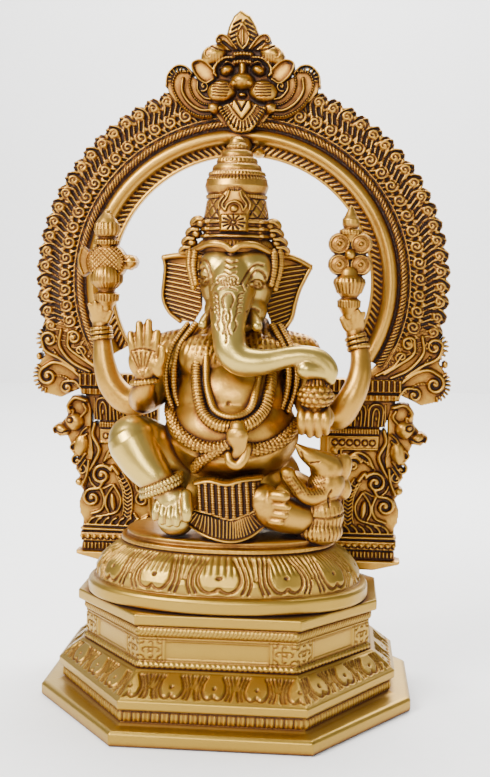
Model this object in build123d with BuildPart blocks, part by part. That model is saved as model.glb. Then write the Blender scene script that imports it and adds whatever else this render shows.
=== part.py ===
from build123d import *
import math
import os

# Seated Ganesha on a lotus seat, in front of an arch, on a hollow eight-sided stand.
# Millimetres. +Z is up, the front faces -Y, and the origin is the middle of the stand's
# underside. Left and right are the deity's own: its right hand is on the -X side.

# --- Stand: heights of its mouldings ---
SLAB_TOP = 6.6
NECK_TOP = 14.1
FASCIA_TOP = 18.4
SLOPE_TOP = 26.2
DRUM_TOP = 40.2
ROPE_TOP = 45.4
STAND_TOP = 50.8

# Plan of each tier: (half of the front side, half width, half depth, half of the end side)
SLAB_PLAN = (43.3, 87.0, 82.8, 26.6)
FASCIA_PLAN = (40.6, 79.5, 76.7, 22.0)
DRUM_PLAN = (34.9, 67.2, 57.6, 18.0)
TOP_PLAN = (36.7, 70.6, 58.5, 20.0)
NECK_INSET = 4.0
ROPE_SWELL = 0.8
WALL = 3.6
EDGE_ROUND = 1.2

# --- Lotus seat and the plinth on it ---
SEAT_Y = -15.0
SEAT_FOOT = 51.4
SEAT_FLANGE_TOP = 58.6
SEAT_TOP = 76.0
SEAT_FLANGE_AXES = (66.0, 43.5)
SEAT_DOME_AXES = (62.5, 40.5)
SEAT_CROWN_AXES = (49.0, 31.0)
SEAT_BACK_HALF = 38.0
PLINTH_TOP = 81.0
PLINTH_AXES = (48.5, 30.5)

# --- Arch behind the figure ---
ARCH_FRONT = 31.0
ARCH_THICK = 6.0
ARCH_CENTRE_Z = 196.6
ARCH_FLATTEN = 0.964
OPENING_R = 65.4
ROUND_RING_R = 75.2
ROUND_RING_WIRE = 3.8
ROPE_RING_R = 81.8
ROPE_RING_WIRE = 2.3
SCROLL_ROW_R = 91.0
SCROLL_R = 4.3
PLATE_R = 98.5
CURL_ROW_R = 101.5
CURL_R = 3.6
PILLAR_IN = 41.5
PILLAR_OUT = 80.0
PILLAR_TOP = 150.0
SILL_TOP = 76.0
ARCH_TIP_Z = 330.0

# --- Fasteners ---
STUD_R = 3.0
STUD_X = 30.0
STUD_BOTTOM = 41.0
STUD_TOP = 66.0
WASHER_R = 6.0
WASHER_THICK = 1.6
NUT_ACROSS_CORNERS = 11.55
NUT_THICK = 5.0
SCREW_R = 2.5
SCREW_HEAD_R = 4.25
SCREW_HEAD_THICK = 5.0
SCREW_LENGTH = 16.0
SCREW_Z = 66.0
ARCH_BACK = ARCH_FRONT + ARCH_THICK


# --- Shapes that several parts share ---
def tier_face(plan, height, grow=0.0):
    """Eight-sided face of a stand tier at a height, grown outwards by grow."""
    front, width, depth, side = plan
    half = [(width, side), (front, depth), (-front, depth), (-width, side)]
    corners = half + [(-x, -y) for x, y in half]
    with BuildSketch(Plane.XY.offset(height)) as face:
        with BuildLine():
            Polyline(*corners, close=True)
        make_face()
        if grow:
            offset(amount=grow, kind=Kind.INTERSECTION)
    return face.sketch


def oval_face(axes, height):
    """Oval face centred on the seat at a height."""
    with BuildSketch(Plane.XY.offset(height)) as face:
        with Locations((0, SEAT_Y)):
            Ellipse(axes[0], axes[1])
    return face.sketch


def egg(centre, axes):
    """Egg-shaped solid with half-axes along X, Y and Z."""
    with BuildPart() as body:
        Sphere(1.0)
        scale(by=axes)
    return body.part.moved(Location(centre))


def limb(points, radii):
    """Round limb that runs through points, with its own radius at each point."""
    with BuildPart() as body:
        for point, radius in zip(points, radii):
            with Locations(point):
                Sphere(radius)
        for start, end, first, last in zip(points, points[1:], radii, radii[1:]):
            way = Vector(*end) - Vector(*start)
            with BuildSketch(Plane(origin=start, z_dir=way)) as foot:
                Circle(first)
            with BuildSketch(Plane(origin=end, z_dir=way)) as head_end:
                Circle(last)
            loft([foot.sketch, head_end.sketch])
    return body.part


def turned(profile, axis_x, axis_y):
    """Solid turned about an upright axis from (radius, height) points."""
    with BuildPart() as body:
        with BuildSketch(Plane.XZ):
            with BuildLine():
                Polyline(*profile, close=True)
            make_face()
        revolve(axis=Axis.Z)
    return body.part.moved(Location((axis_x, axis_y, 0)))


def on_arch(radius, degrees):
    """Point of the arch's front plane at a radius and an angle from straight up."""
    angle = math.radians(degrees)
    return (radius * math.sin(angle), ARCH_CENTRE_Z + ARCH_FLATTEN * radius * math.cos(angle))


def largest(part):
    """The largest solid of a part, without the slivers that a cut can leave."""
    return part.solids().sort_by(SortBy.VOLUME)[-1]


def mirrored_x(part):
    """The same part on the other side of the middle plane."""
    return mirror(part, about=Plane.YZ)


def finish(part, label):
    """Label a part and write its file."""
    part.label = label
    export_step(part, f"parts/{label}.step")


os.makedirs("parts", exist_ok=True)

# --- Stand ---
with BuildPart() as pedestal:
    extrude(tier_face(SLAB_PLAN, 0), amount=SLAB_TOP)
    fillet(pedestal.edges().filter_by(Axis.Z), radius=8.0)
    fillet(pedestal.edges().group_by(Axis.Z)[-1], radius=EDGE_ROUND)
    extrude(tier_face(FASCIA_PLAN, SLAB_TOP, -NECK_INSET), amount=NECK_TOP - SLAB_TOP)
    extrude(tier_face(FASCIA_PLAN, NECK_TOP), amount=FASCIA_TOP - NECK_TOP)
    loft([tier_face(FASCIA_PLAN, FASCIA_TOP, -1.5), tier_face(DRUM_PLAN, SLOPE_TOP, 2.0)])
    extrude(tier_face(DRUM_PLAN, SLOPE_TOP), amount=DRUM_TOP - SLOPE_TOP)
    extrude(tier_face(DRUM_PLAN, DRUM_TOP, ROPE_SWELL), amount=ROPE_TOP - DRUM_TOP)
    extrude(tier_face(TOP_PLAN, ROPE_TOP), amount=STAND_TOP - ROPE_TOP)
    extrude(tier_face(FASCIA_PLAN, 0, -NECK_INSET - WALL), amount=FASCIA_TOP - WALL, mode=Mode.SUBTRACT)
    extrude(tier_face(DRUM_PLAN, FASCIA_TOP - WALL, -WALL), amount=STAND_TOP - FASCIA_TOP,
            mode=Mode.SUBTRACT)
    with Locations((-STUD_X, SEAT_Y, STAND_TOP), (STUD_X, SEAT_Y, STAND_TOP)):
        Hole(STUD_R + 0.3)

# --- Lotus seat: flange, petal dome, back block for the arch, bosses round the studs ---
with BuildPart() as lotus_seat:
    extrude(oval_face(SEAT_FLANGE_AXES, SEAT_FOOT), amount=SEAT_FLANGE_TOP - SEAT_FOOT)
    fillet(lotus_seat.edges(), radius=EDGE_ROUND)
    loft([oval_face(SEAT_DOME_AXES, SEAT_FLANGE_TOP),
          oval_face((59.5, 38.5), 66.0),
          oval_face(SEAT_CROWN_AXES, SEAT_TOP)])
    with BuildSketch(Plane.XY.offset(SEAT_FOOT)):
        with Locations((0, ARCH_FRONT)):
            Rectangle(2 * SEAT_BACK_HALF, 25.0, align=(Align.CENTER, Align.MAX))
    extrude(amount=SEAT_TOP - 2.0 - SEAT_FOOT)
    with BuildSketch(Plane.XY.offset(STAND_TOP)):
        with Locations((-STUD_X, SEAT_Y), (STUD_X, SEAT_Y)):
            Circle(8.0)
    extrude(amount=SEAT_FOOT - STAND_TOP + 1.0)
    with Locations((-STUD_X, SEAT_Y, STAND_TOP), (STUD_X, SEAT_Y, STAND_TOP)):
        Cylinder(STUD_R, STUD_TOP - STAND_TOP, align=(Align.CENTER, Align.CENTER, Align.MIN),
                 mode=Mode.SUBTRACT)
    with BuildSketch(Plane.XZ.offset(-ARCH_FRONT)):
        with Locations((-STUD_X, SCREW_Z), (STUD_X, SCREW_Z)):
            Circle(SCREW_R)
    extrude(amount=SCREW_LENGTH - ARCH_THICK, mode=Mode.SUBTRACT)

# --- Plinth between the seat and the figure ---
with BuildPart() as seat_plinth:
    extrude(oval_face(PLINTH_AXES, SEAT_TOP), amount=PLINTH_TOP - SEAT_TOP)
    fillet(seat_plinth.edges(), radius=1.5)

# --- Torso: a pot belly and chest, hollow inside ---
with BuildPart() as torso:
    add(turned([(0, 81), (35, 81), (37, 90), (34, 102), (34, 116), (35, 127), (33, 140), (28, 151),
                (27, 160), (23, 168), (14, 174), (9, 178), (0, 178)], 0, 0))
    scale(by=(1.0, 0.84, 1.0))
    add(egg((0, 0, 118), (27, 20, 24)), mode=Mode.SUBTRACT)
torso_solid = torso.part.moved(Location((1, -13, 0)))

# --- Head, trunk and tusks ---
head_shape = egg((2, -16, 191), (19.5, 21.0, 25.0))
with BuildPart() as head:
    add(head_shape)
    add(torso_solid, mode=Mode.SUBTRACT)

TRUNK_ROUTE = [(0.5, -33, 192), (-1, -39, 180), (-1.5, -43, 169), (6, -45.5, 162.5),
               (20, -45, 161), (34, -43, 162.5), (42, -42, 161), (45.5, -42, 157)]
TRUNK_RADII = [12.0, 10.0, 8.8, 7.6, 5.6, 4.8, 4.4, 3.8]
with BuildPart() as trunk:
    add(limb(TRUNK_ROUTE, TRUNK_RADII))
    add(head_shape, mode=Mode.SUBTRACT)
    add(torso_solid, mode=Mode.SUBTRACT)

with BuildPart() as tusks:
    add(limb([(-10.5, -33, 180), (-12, -41, 175.5)], [3.0, 1.8]))
    add(limb([(13, -33, 180), (14.5, -42, 176)], [3.4, 2.4]))
    add(head_shape, mode=Mode.SUBTRACT)
    add(trunk.part, mode=Mode.SUBTRACT)

# --- Ears: ribbed fans that stand out beside the head ---
EAR_OUTLINE = [(15, 210), (36.5, 208), (33.5, 198), (31.5, 186), (27, 178), (15, 178)]
EAR_FRONT = 4.0
EAR_THICK = 6.0
EAR_RIB_STEP = 3.0
with BuildPart() as left_ear:
    with BuildSketch(Plane.XZ.offset(EAR_FRONT)):
        with BuildLine():
            Polyline(*EAR_OUTLINE, close=True)
        make_face()
    extrude(amount=-EAR_THICK)
    with Locations(*[(26, -EAR_FRONT, 184 + EAR_RIB_STEP * rib) for rib in range(8)]):
        Cylinder(0.9, 14, rotation=(0, 90, 0))
    add(head_shape, mode=Mode.SUBTRACT)
    add(torso_solid, mode=Mode.SUBTRACT)
right_ear_solid = mirrored_x(left_ear.part).moved(Location((3, 0, 0))) - head_shape - torso_solid

# --- Crown: headband, patterned band, bulb and ringed tip ---
CROWN_X = 1.8
CROWN_Y = -9.0
CROWN_PROFILE = [(0, 211), (17.5, 211), (18.5, 214), (18.5, 226), (15, 227), (14, 231), (14.5, 238),
                 (15.3, 243), (14, 248), (10, 250.5), (8.3, 251), (8.3, 254), (6, 255.5), (4.8, 257),
                 (4.8, 260), (3.8, 261), (3.2, 263.5), (0, 263.5)]
with BuildPart() as crown:
    add(turned(CROWN_PROFILE, CROWN_X, CROWN_Y))
    with BuildSketch(Plane.XZ.offset(-CROWN_Y + 18.0)):
        with BuildLine():
            Polyline((CROWN_X - 6, 216), (CROWN_X + 6, 216), (CROWN_X + 6, 232), (CROWN_X, 246),
                     (CROWN_X - 6, 232), close=True)
        make_face()
    extrude(amount=-6)
    add(head_shape, mode=Mode.SUBTRACT)
    add(right_ear_solid, mode=Mode.SUBTRACT)
    add(left_ear.part, mode=Mode.SUBTRACT)

with BuildPart() as crown_stay:
    with Locations((CROWN_X, ARCH_FRONT, 258)):
        Box(13, ARCH_FRONT - CROWN_Y, 7, align=(Align.CENTER, Align.MAX, Align.CENTER))
    fillet(crown_stay.edges().filter_by(Axis.Y), radius=1.5)
    add(crown.part, mode=Mode.SUBTRACT)

# --- Legs: the right knee is raised, the left leg lies folded ---
with BuildPart() as right_leg:
    add(limb([(-17, -16, 97), (-42, -34, 128), (-23, -44, 105)], [14.0, 12.0, 7.0]))
    add(limb([(-23, -44, 105), (-21, -49, 95), (-21, -53, 86.5)], [6.5, 8.0, 5.0]))
    add(torso_solid, mode=Mode.SUBTRACT)

with BuildPart() as left_leg:
    add(limb([(20, -14, 96), (42, -10, 94), (26, -36, 95), (26, -41, 93)], [13.0, 12.0, 6.5, 6.5]))
    add(torso_solid, mode=Mode.SUBTRACT)

# --- Dhoti: pleated apron in front of the lap, with its crescent hem ---
with BuildPart() as dhoti:
    with BuildSketch(Plane.XZ.offset(42)):
        with BuildLine():
            Polyline((-13, 111), (15, 111), (16, 96), (23, 89), (14, 82.8), (2, 81.2), (-11, 82.8),
                     (-21, 87.5), (-12, 96), close=True)
        make_face()
    extrude(amount=8)
    for part in (torso_solid, right_leg.part, left_leg.part):
        add(part, mode=Mode.SUBTRACT)

# --- Arms. The rear pair hold emblems, the front pair bless and hold the sweet ---
with BuildPart() as right_rear_arm:
    add(limb([(-25, -4, 160), (-41, -5, 139), (-58, -7, 150), (-63, -8, 168), (-62, -9, 184)],
             [9.0, 7.0, 5.6, 4.6, 4.8]))
    add(torso_solid, mode=Mode.SUBTRACT)

with BuildPart() as left_rear_arm:
    add(limb([(27, -4, 160), (45, -6, 131), (56, -8, 147), (60, -9, 166), (54, -9, 186)],
             [9.0, 7.5, 6.0, 5.2, 5.0]))
    add(torso_solid, mode=Mode.SUBTRACT)
    add(left_leg.part, mode=Mode.SUBTRACT)

with BuildPart() as right_front_arm:
    add(limb([(-24, -14, 158), (-33, -24, 140), (-37, -33, 150)], [9.0, 7.5, 5.5]))
    with BuildSketch(Plane.XZ.offset(32)):
        with BuildLine():
            Polyline((-44, 150), (-31, 149), (-28, 165), (-33, 180), (-41, 180), (-46, 166), close=True)
        make_face()
    extrude(amount=5)
    for part in (torso_solid, right_leg.part, right_rear_arm.part):
        add(part, mode=Mode.SUBTRACT)

with BuildPart() as left_front_arm:
    add(limb([(27, -24, 155), (36, -29, 143), (42, -38, 134)], [7.0, 6.5, 6.0]))
    add(torso_solid, mode=Mode.SUBTRACT)

# --- What the hands hold ---
SWEET_CENTRE = (44.5, -38, 145.6)
SWEET_R = 8.5
with BuildPart() as sweet:
    with Locations(SWEET_CENTRE):
        Sphere(SWEET_R)
    for part in (left_front_arm.part, left_rear_arm.part):
        add(part, mode=Mode.SUBTRACT)

AXE_X = -59.5
LOTUS_X = 54.5
EMBLEM_Y = -9.0
with BuildPart() as axe_emblem:
    add(turned([(0, 189), (4.5, 189), (5, 194), (9.5, 197), (8, 200), (0, 200)], AXE_X, EMBLEM_Y))
    with BuildSketch(Plane.XZ.offset(-EMBLEM_Y + 3)):
        with Locations((AXE_X, 206)):
            Circle(9.5)
        with BuildLine():
            Polyline((AXE_X - 9, 213), (AXE_X - 13.5, 214), (AXE_X - 12, 206), (AXE_X - 13.5, 198),
                     (AXE_X - 9, 199), close=True)
        make_face()
        with BuildLine():
            Polyline((AXE_X + 8, 209), (AXE_X + 14, 205.5), (AXE_X + 8, 202), close=True)
        make_face()
    extrude(amount=-6)
    add(turned([(0, 213), (8, 213), (8, 219), (5, 221), (3.5, 228), (0, 229.5)], AXE_X, EMBLEM_Y))

with BuildPart() as lotus_emblem:
    add(turned([(0, 191.2), (4.5, 191.2), (5, 195), (8.5, 197), (8.5, 200.5), (0, 200.5)], LOTUS_X, EMBLEM_Y))
    with BuildSketch(Plane.XZ.offset(-EMBLEM_Y + 3)):
        with Locations((LOTUS_X - 4.8, 205), (LOTUS_X + 4.8, 205), (LOTUS_X - 4.8, 215), (LOTUS_X + 4.8, 215)):
            Circle(5.0)
        with Locations((LOTUS_X, 210)):
            Circle(5.0)
    extrude(amount=-6)
    add(turned([(0, 218), (6, 218), (6, 223), (3.5, 226), (0, 233.5)], LOTUS_X, EMBLEM_Y))

# --- Ornaments worn on the figure ---
with BuildPart() as necklace:
    add(limb([(-15, -33, 168), (-15, -38, 152), (-13, -42.5, 140), (-5, -45, 133), (4, -45.5, 132),
              (13, -44, 135), (18, -40, 143), (18, -36, 155)], [2.4] * 8))
    for part in (torso_solid, head_shape, trunk.part, left_front_arm.part):
        add(part, mode=Mode.SUBTRACT)

with BuildPart() as snake_belt:
    add(limb([(-22, -34, 126), (-14, -42, 119), (0, -45, 120), (14, -43, 119), (26, -34, 123)], [2.9] * 5))
    with Locations((5.5, -45, 125)):
        Sphere(4.6)
    add(torso_solid, mode=Mode.SUBTRACT)

# --- Mouse at the deity's left knee, looking up with its sweet ---
with BuildPart() as mouse:
    add(limb([(45, -41, 93), (44, -40, 108), (31, -44, 119)], [10.5, 9.5, 3.5]))
    with BuildSketch(Plane.XY.offset(SEAT_TOP)):
        with Locations((45, -39)):
            Ellipse(10.5, 8.0)
    extrude(amount=14)
    add(seat_plinth.part, mode=Mode.SUBTRACT)

# --- Arch: scalloped plate, round ring, rope ring, row of scrolls, pillars and sill ---
CURL_STEP = 4.6
CURL_FIRST = 14.0
CURL_COUNT = 21
SCROLL_STEP = 5.4
SCROLL_FIRST = 18.0
SCROLL_COUNT = 16
RING_END = 126.0
CURL_ANGLES = [CURL_FIRST + CURL_STEP * n for n in range(CURL_COUNT)]
SCROLL_ANGLES = [SCROLL_FIRST + SCROLL_STEP * n for n in range(SCROLL_COUNT)]
PLUME_OUTLINE = [(78, 150), (92, 137), (102, 140), (104.5, 150), (104.5, 168), (98, 172), (84, 172)]
PILLAR_OUTLINE = [(PILLAR_IN, STAND_TOP), (68.5, STAND_TOP), (82.5, 54.5), (82.5, 58.5), (80, 62),
                  (83, 75), (83.5, 104), (80, 116), (80, 136.5), (82, 138), (82, PILLAR_TOP),
                  (PILLAR_IN, PILLAR_TOP)]

with BuildPart() as arch_frame:
    with BuildSketch(Plane.XZ.offset(-ARCH_BACK)):
        with Locations((0, ARCH_CENTRE_Z)):
            Ellipse(PLATE_R, PLATE_R * ARCH_FLATTEN)
        with Locations(*[on_arch(CURL_ROW_R, side * angle) for angle in CURL_ANGLES for side in (-1, 1)]):
            Circle(CURL_R)
        with Locations((0, PILLAR_TOP)):
            Rectangle(3 * PLATE_R, 3 * PLATE_R, align=(Align.CENTER, Align.MAX), mode=Mode.SUBTRACT)
        for outline in (PILLAR_OUTLINE, PLUME_OUTLINE):
            for side in (1, -1):
                with BuildLine():
                    Polyline(*[(side * x, z) for x, z in outline], close=True)
                make_face()
        with Locations((0, ARCH_CENTRE_Z)):
            Ellipse(OPENING_R, OPENING_R * ARCH_FLATTEN, mode=Mode.SUBTRACT)
        with Locations((0, SILL_TOP)):
            Rectangle(2 * PILLAR_IN, ARCH_CENTRE_Z - SILL_TOP - 30, align=(Align.CENTER, Align.MIN),
                      mode=Mode.SUBTRACT)
        with Locations((0, STAND_TOP)):
            Rectangle(2 * PILLAR_IN, SILL_TOP - STAND_TOP, align=(Align.CENTER, Align.MIN))
    extrude(amount=ARCH_THICK)
    for radius, wire in ((ROUND_RING_R, ROUND_RING_WIRE), (ROPE_RING_R, ROPE_RING_WIRE)):
        with BuildLine(Plane.XZ.offset(-ARCH_FRONT)) as ring_path:
            EllipticalCenterArc((0, ARCH_CENTRE_Z), radius, radius * ARCH_FLATTEN,
                                start_angle=90 - RING_END, arc_size=2 * RING_END)
        with BuildSketch(ring_path.line ^ 0):
            Circle(wire)
        sweep()
    with BuildSketch(Plane.XZ.offset(-ARCH_FRONT)):
        with Locations(*[on_arch(SCROLL_ROW_R, side * angle) for angle in SCROLL_ANGLES for side in (-1, 1)]):
            Circle(SCROLL_R)
    extrude(amount=1.8)
    with BuildSketch(Plane.XZ.offset(-ARCH_FRONT)):
        with Locations((61.8, 143.5), (-61.8, 143.5)):
            Rectangle(40.5, 12)
        with Locations((59.5, 117), (-59.5, 117)):
            Rectangle(36, 11)
        with Locations((62, 71.5), (-62, 71.5)):
            Rectangle(41, 5)
        with Locations((61, 64), (-61, 64)):
            Rectangle(40, 5)
    extrude(amount=2.0)
    with BuildSketch(Plane.XZ.offset(-ARCH_BACK)):
        with Locations((-STUD_X, SCREW_Z), (STUD_X, SCREW_Z)):
            Circle(SCREW_R + 0.25)
    extrude(amount=ARCH_THICK, mode=Mode.SUBTRACT)
    for part in (lotus_seat.part, crown_stay.part):
        add(part, mode=Mode.SUBTRACT)

# --- Beasts on the pillars' outer faces ---
BEAST_OUTLINE = [(72, 112), (80, 106), (86, 112), (93, 117), (96, 122), (91, 124), (86, 132), (80, 136),
                 (72, 134)]
with BuildPart() as left_beast:
    with BuildSketch(Plane.XZ.offset(-ARCH_FRONT)):
        with BuildLine():
            Polyline(*BEAST_OUTLINE, close=True)
        make_face()
    extrude(amount=5)
    fillet(left_beast.edges().filter_by(Axis.Y), radius=1.2)
    add(arch_frame.part, mode=Mode.SUBTRACT)
right_beast_solid = mirrored_x(left_beast.part)

# --- Lion-face mask at the arch's top ---
MASK_OUTLINE = [(0, 330), (-5, 323), (-8, 313), (-14, 310), (-17, 303), (-24, 301), (-23, 293), (-19, 287),
                (-14, 282), (-8, 276), (0, 272), (8, 276), (14, 282), (19, 287), (23, 293), (24, 301),
                (17, 303), (14, 310), (8, 313), (5, 323)]
with BuildPart() as kirtimukha_mask:
    with BuildSketch(Plane.XZ.offset(-ARCH_FRONT)):
        with BuildLine():
            Polyline(*MASK_OUTLINE, close=True)
        make_face()
    extrude(amount=5)
    with Locations((-9, ARCH_FRONT - 5, 291), (9, ARCH_FRONT - 5, 291), (0, ARCH_FRONT - 5, 296)):
        Sphere(4.5)
    with BuildSketch(Plane.XZ.offset(-ARCH_BACK)):
        with BuildLine():
            Polyline((-14, 290), (14, 290), (9, 312), (0, ARCH_TIP_Z), (-9, 312), close=True)
        make_face()
    extrude(amount=ARCH_THICK)
    add(arch_frame.part, mode=Mode.SUBTRACT)

# --- Fasteners ---
with BuildPart() as seat_studs:
    with Locations((-STUD_X, SEAT_Y, STUD_BOTTOM), (STUD_X, SEAT_Y, STUD_BOTTOM)):
        Cylinder(STUD_R, STUD_TOP - STUD_BOTTOM, align=(Align.CENTER, Align.CENTER, Align.MIN))
    chamfer(seat_studs.edges().group_by(Axis.Z)[0], length=0.5)

WASHER_TOP = STAND_TOP - WALL
with BuildPart() as stud_washers:
    with Locations((-STUD_X, SEAT_Y, WASHER_TOP), (STUD_X, SEAT_Y, WASHER_TOP)):
        Cylinder(WASHER_R, WASHER_THICK, align=(Align.CENTER, Align.CENTER, Align.MAX))
        Hole(STUD_R + 0.2)

with BuildPart() as stud_nuts:
    with BuildSketch(Plane.XY.offset(WASHER_TOP - WASHER_THICK - NUT_THICK)):
        with Locations((-STUD_X, SEAT_Y), (STUD_X, SEAT_Y)):
            RegularPolygon(NUT_ACROSS_CORNERS / 2, 6)
            Circle(STUD_R, mode=Mode.SUBTRACT)
    extrude(amount=NUT_THICK)

with BuildPart() as arch_screws:
    with BuildSketch(Plane.XZ.offset(-ARCH_BACK)):
        with Locations((-STUD_X, SCREW_Z), (STUD_X, SCREW_Z)):
            Circle(SCREW_R)
    extrude(amount=SCREW_LENGTH)
    with BuildSketch(Plane.XZ.offset(-ARCH_BACK)):
        with Locations((-STUD_X, SCREW_Z), (STUD_X, SCREW_Z)):
            Circle(SCREW_HEAD_R)
    extrude(amount=-SCREW_HEAD_THICK)
    with BuildSketch(Plane.XZ.offset(-ARCH_BACK - SCREW_HEAD_THICK)):
        with Locations((-STUD_X, SCREW_Z), (STUD_X, SCREW_Z)):
            RegularPolygon(2.3, 6)
    extrude(amount=3.0, mode=Mode.SUBTRACT)

# --- Write each part ---
finish(pedestal.part, "pedestal")
finish(lotus_seat.part, "lotus_seat")
finish(seat_plinth.part, "seat_plinth")
finish(torso_solid, "torso")
finish(largest(dhoti.part), "dhoti")
finish(largest(right_leg.part), "right_leg")
finish(largest(left_leg.part), "left_leg")
finish(head.part, "head")
finish(trunk.part, "trunk")
finish(tusks.part, "tusks")
finish(right_ear_solid, "right_ear")
finish(left_ear.part, "left_ear")
finish(crown.part, "crown")
finish(crown_stay.part, "crown_stay")
finish(right_rear_arm.part, "right_rear_arm")
finish(left_rear_arm.part, "left_rear_arm")
finish(largest(right_front_arm.part), "right_front_arm")
finish(largest(left_front_arm.part), "left_front_arm")
finish(axe_emblem.part, "axe_emblem")
finish(lotus_emblem.part, "lotus_emblem")
finish(sweet.part, "sweet")
finish(necklace.part, "necklace")
finish(snake_belt.part, "snake_belt")
finish(largest(mouse.part), "mouse")
finish(arch_frame.part, "arch_frame")
finish(right_beast_solid, "right_beast")
finish(left_beast.part, "left_beast")
finish(kirtimukha_mask.part, "kirtimukha_mask")
finish(seat_studs.part, "seat_studs")
finish(stud_washers.part, "stud_washers")
finish(stud_nuts.part, "stud_nuts")
finish(arch_screws.part, "arch_screws")
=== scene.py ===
"""Looks of a brass Ganesha that sits on a lotus seat before an arch, on an eight-sided stand.

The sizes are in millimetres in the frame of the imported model: +Z up, the front towards -Y and
the deity's own right hand on the -X side. Meshes are made in metres.
"""
import logging
import math
from dataclasses import dataclass, field
from enum import Enum
from typing import Callable, Sequence

import bpy
import numpy as np
from mathutils import Matrix, Vector


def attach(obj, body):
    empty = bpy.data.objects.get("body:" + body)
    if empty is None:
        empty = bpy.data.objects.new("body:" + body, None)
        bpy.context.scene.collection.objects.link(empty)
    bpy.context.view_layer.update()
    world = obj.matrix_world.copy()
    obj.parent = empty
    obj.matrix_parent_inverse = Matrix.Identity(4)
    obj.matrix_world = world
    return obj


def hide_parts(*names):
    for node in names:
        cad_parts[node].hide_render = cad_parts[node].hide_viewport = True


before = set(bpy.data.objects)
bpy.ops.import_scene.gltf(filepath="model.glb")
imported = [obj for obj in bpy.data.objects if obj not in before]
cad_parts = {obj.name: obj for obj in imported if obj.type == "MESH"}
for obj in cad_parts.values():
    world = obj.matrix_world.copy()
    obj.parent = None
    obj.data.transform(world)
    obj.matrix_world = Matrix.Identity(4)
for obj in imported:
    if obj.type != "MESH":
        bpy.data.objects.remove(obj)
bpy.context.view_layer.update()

LOG = logging.getLogger("ganesha")
MM = 0.001
COARSE = 1.15
FULL_TURN = 2 * math.pi
DRAWN_TURN = 6.283  # ovals and rings are drawn this far round
SHORT_TURN = 6.28  # and the two smallest grooves this far
FASTENERS = ("seat_studs", "stud_washers", "stud_nuts", "arch_screws")
Point = tuple[float, float, float]
Array = np.ndarray
Relief = Callable[[Array, Array], Array]


# ---------------------------------------------------------------- shader tools
class Sock:
    """A shader socket, so that shader maths reads as plain expressions."""

    def __init__(self, tree: "Shader", socket: object) -> None:
        """Wrap a socket of a tree."""
        self.tree = tree
        self.socket = socket

    def _math(self, operation: str, other: object, swap: bool = False) -> "Sock":
        """Add one Math node for this socket and another value."""
        pair = [other, self] if swap else [self, other]
        return self.tree.node("ShaderNodeMath", {"operation": operation}, {0: pair[0], 1: pair[1]})

    def __add__(self, other: object) -> "Sock":
        """Sum."""
        return self._math("ADD", other)

    __radd__ = __add__

    def __sub__(self, other: object) -> "Sock":
        """Difference."""
        return self._math("SUBTRACT", other)

    def __rsub__(self, other: object) -> "Sock":
        """Difference the other way round."""
        return self._math("SUBTRACT", other, swap=True)

    def __mul__(self, other: object) -> "Sock":
        """Product."""
        return self._math("MULTIPLY", other)

    __rmul__ = __mul__

    def clamped(self) -> "Sock":
        """The value held between 0 and 1."""
        return self.tree.node("ShaderNodeClamp", {}, {0: self})


class Shader:
    """A node material that is built by expressions."""

    def __init__(self, name: str) -> None:
        """Make an empty node material."""
        self.material = bpy.data.materials.new(name)
        self.material.use_nodes = True
        self.nodes = self.material.node_tree.nodes
        self.links = self.material.node_tree.links
        self.nodes.clear()

    def node(self, kind: str, settings: dict, inputs: dict, output: object = 0) -> Sock:
        """Add a node.

        Args:
            kind: The node's type.
            settings: Its settings; a ramp's stops come under "stops".
            inputs: A value, colour or Sock for each socket.
            output: Name or number of the output to return.

        Returns:
            The chosen output.
        """
        node = self.nodes.new(kind)
        for key, value in settings.items():
            if key == "stops":
                ramp = node.color_ramp
                while len(ramp.elements) < len(value):
                    ramp.elements.new(0.5)
                for element, (place, colour) in zip(ramp.elements, value):
                    element.position = place
                    element.color = (*colour, 1.0)
            else:
                setattr(node, key, value)
        for key, value in inputs.items():
            if isinstance(value, Sock):
                self.links.new(value.socket, node.inputs[key])
            else:
                node.inputs[key].default_value = value
        return Sock(self, node.outputs[output])


class Finish(Enum):
    """Finishes that the object's pieces take."""

    POLISHED = "polished_brass"
    ANTIQUE = "antique_brass"
    STAND = "stand_brass"
    ZINC = "zinc_steel"


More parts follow.
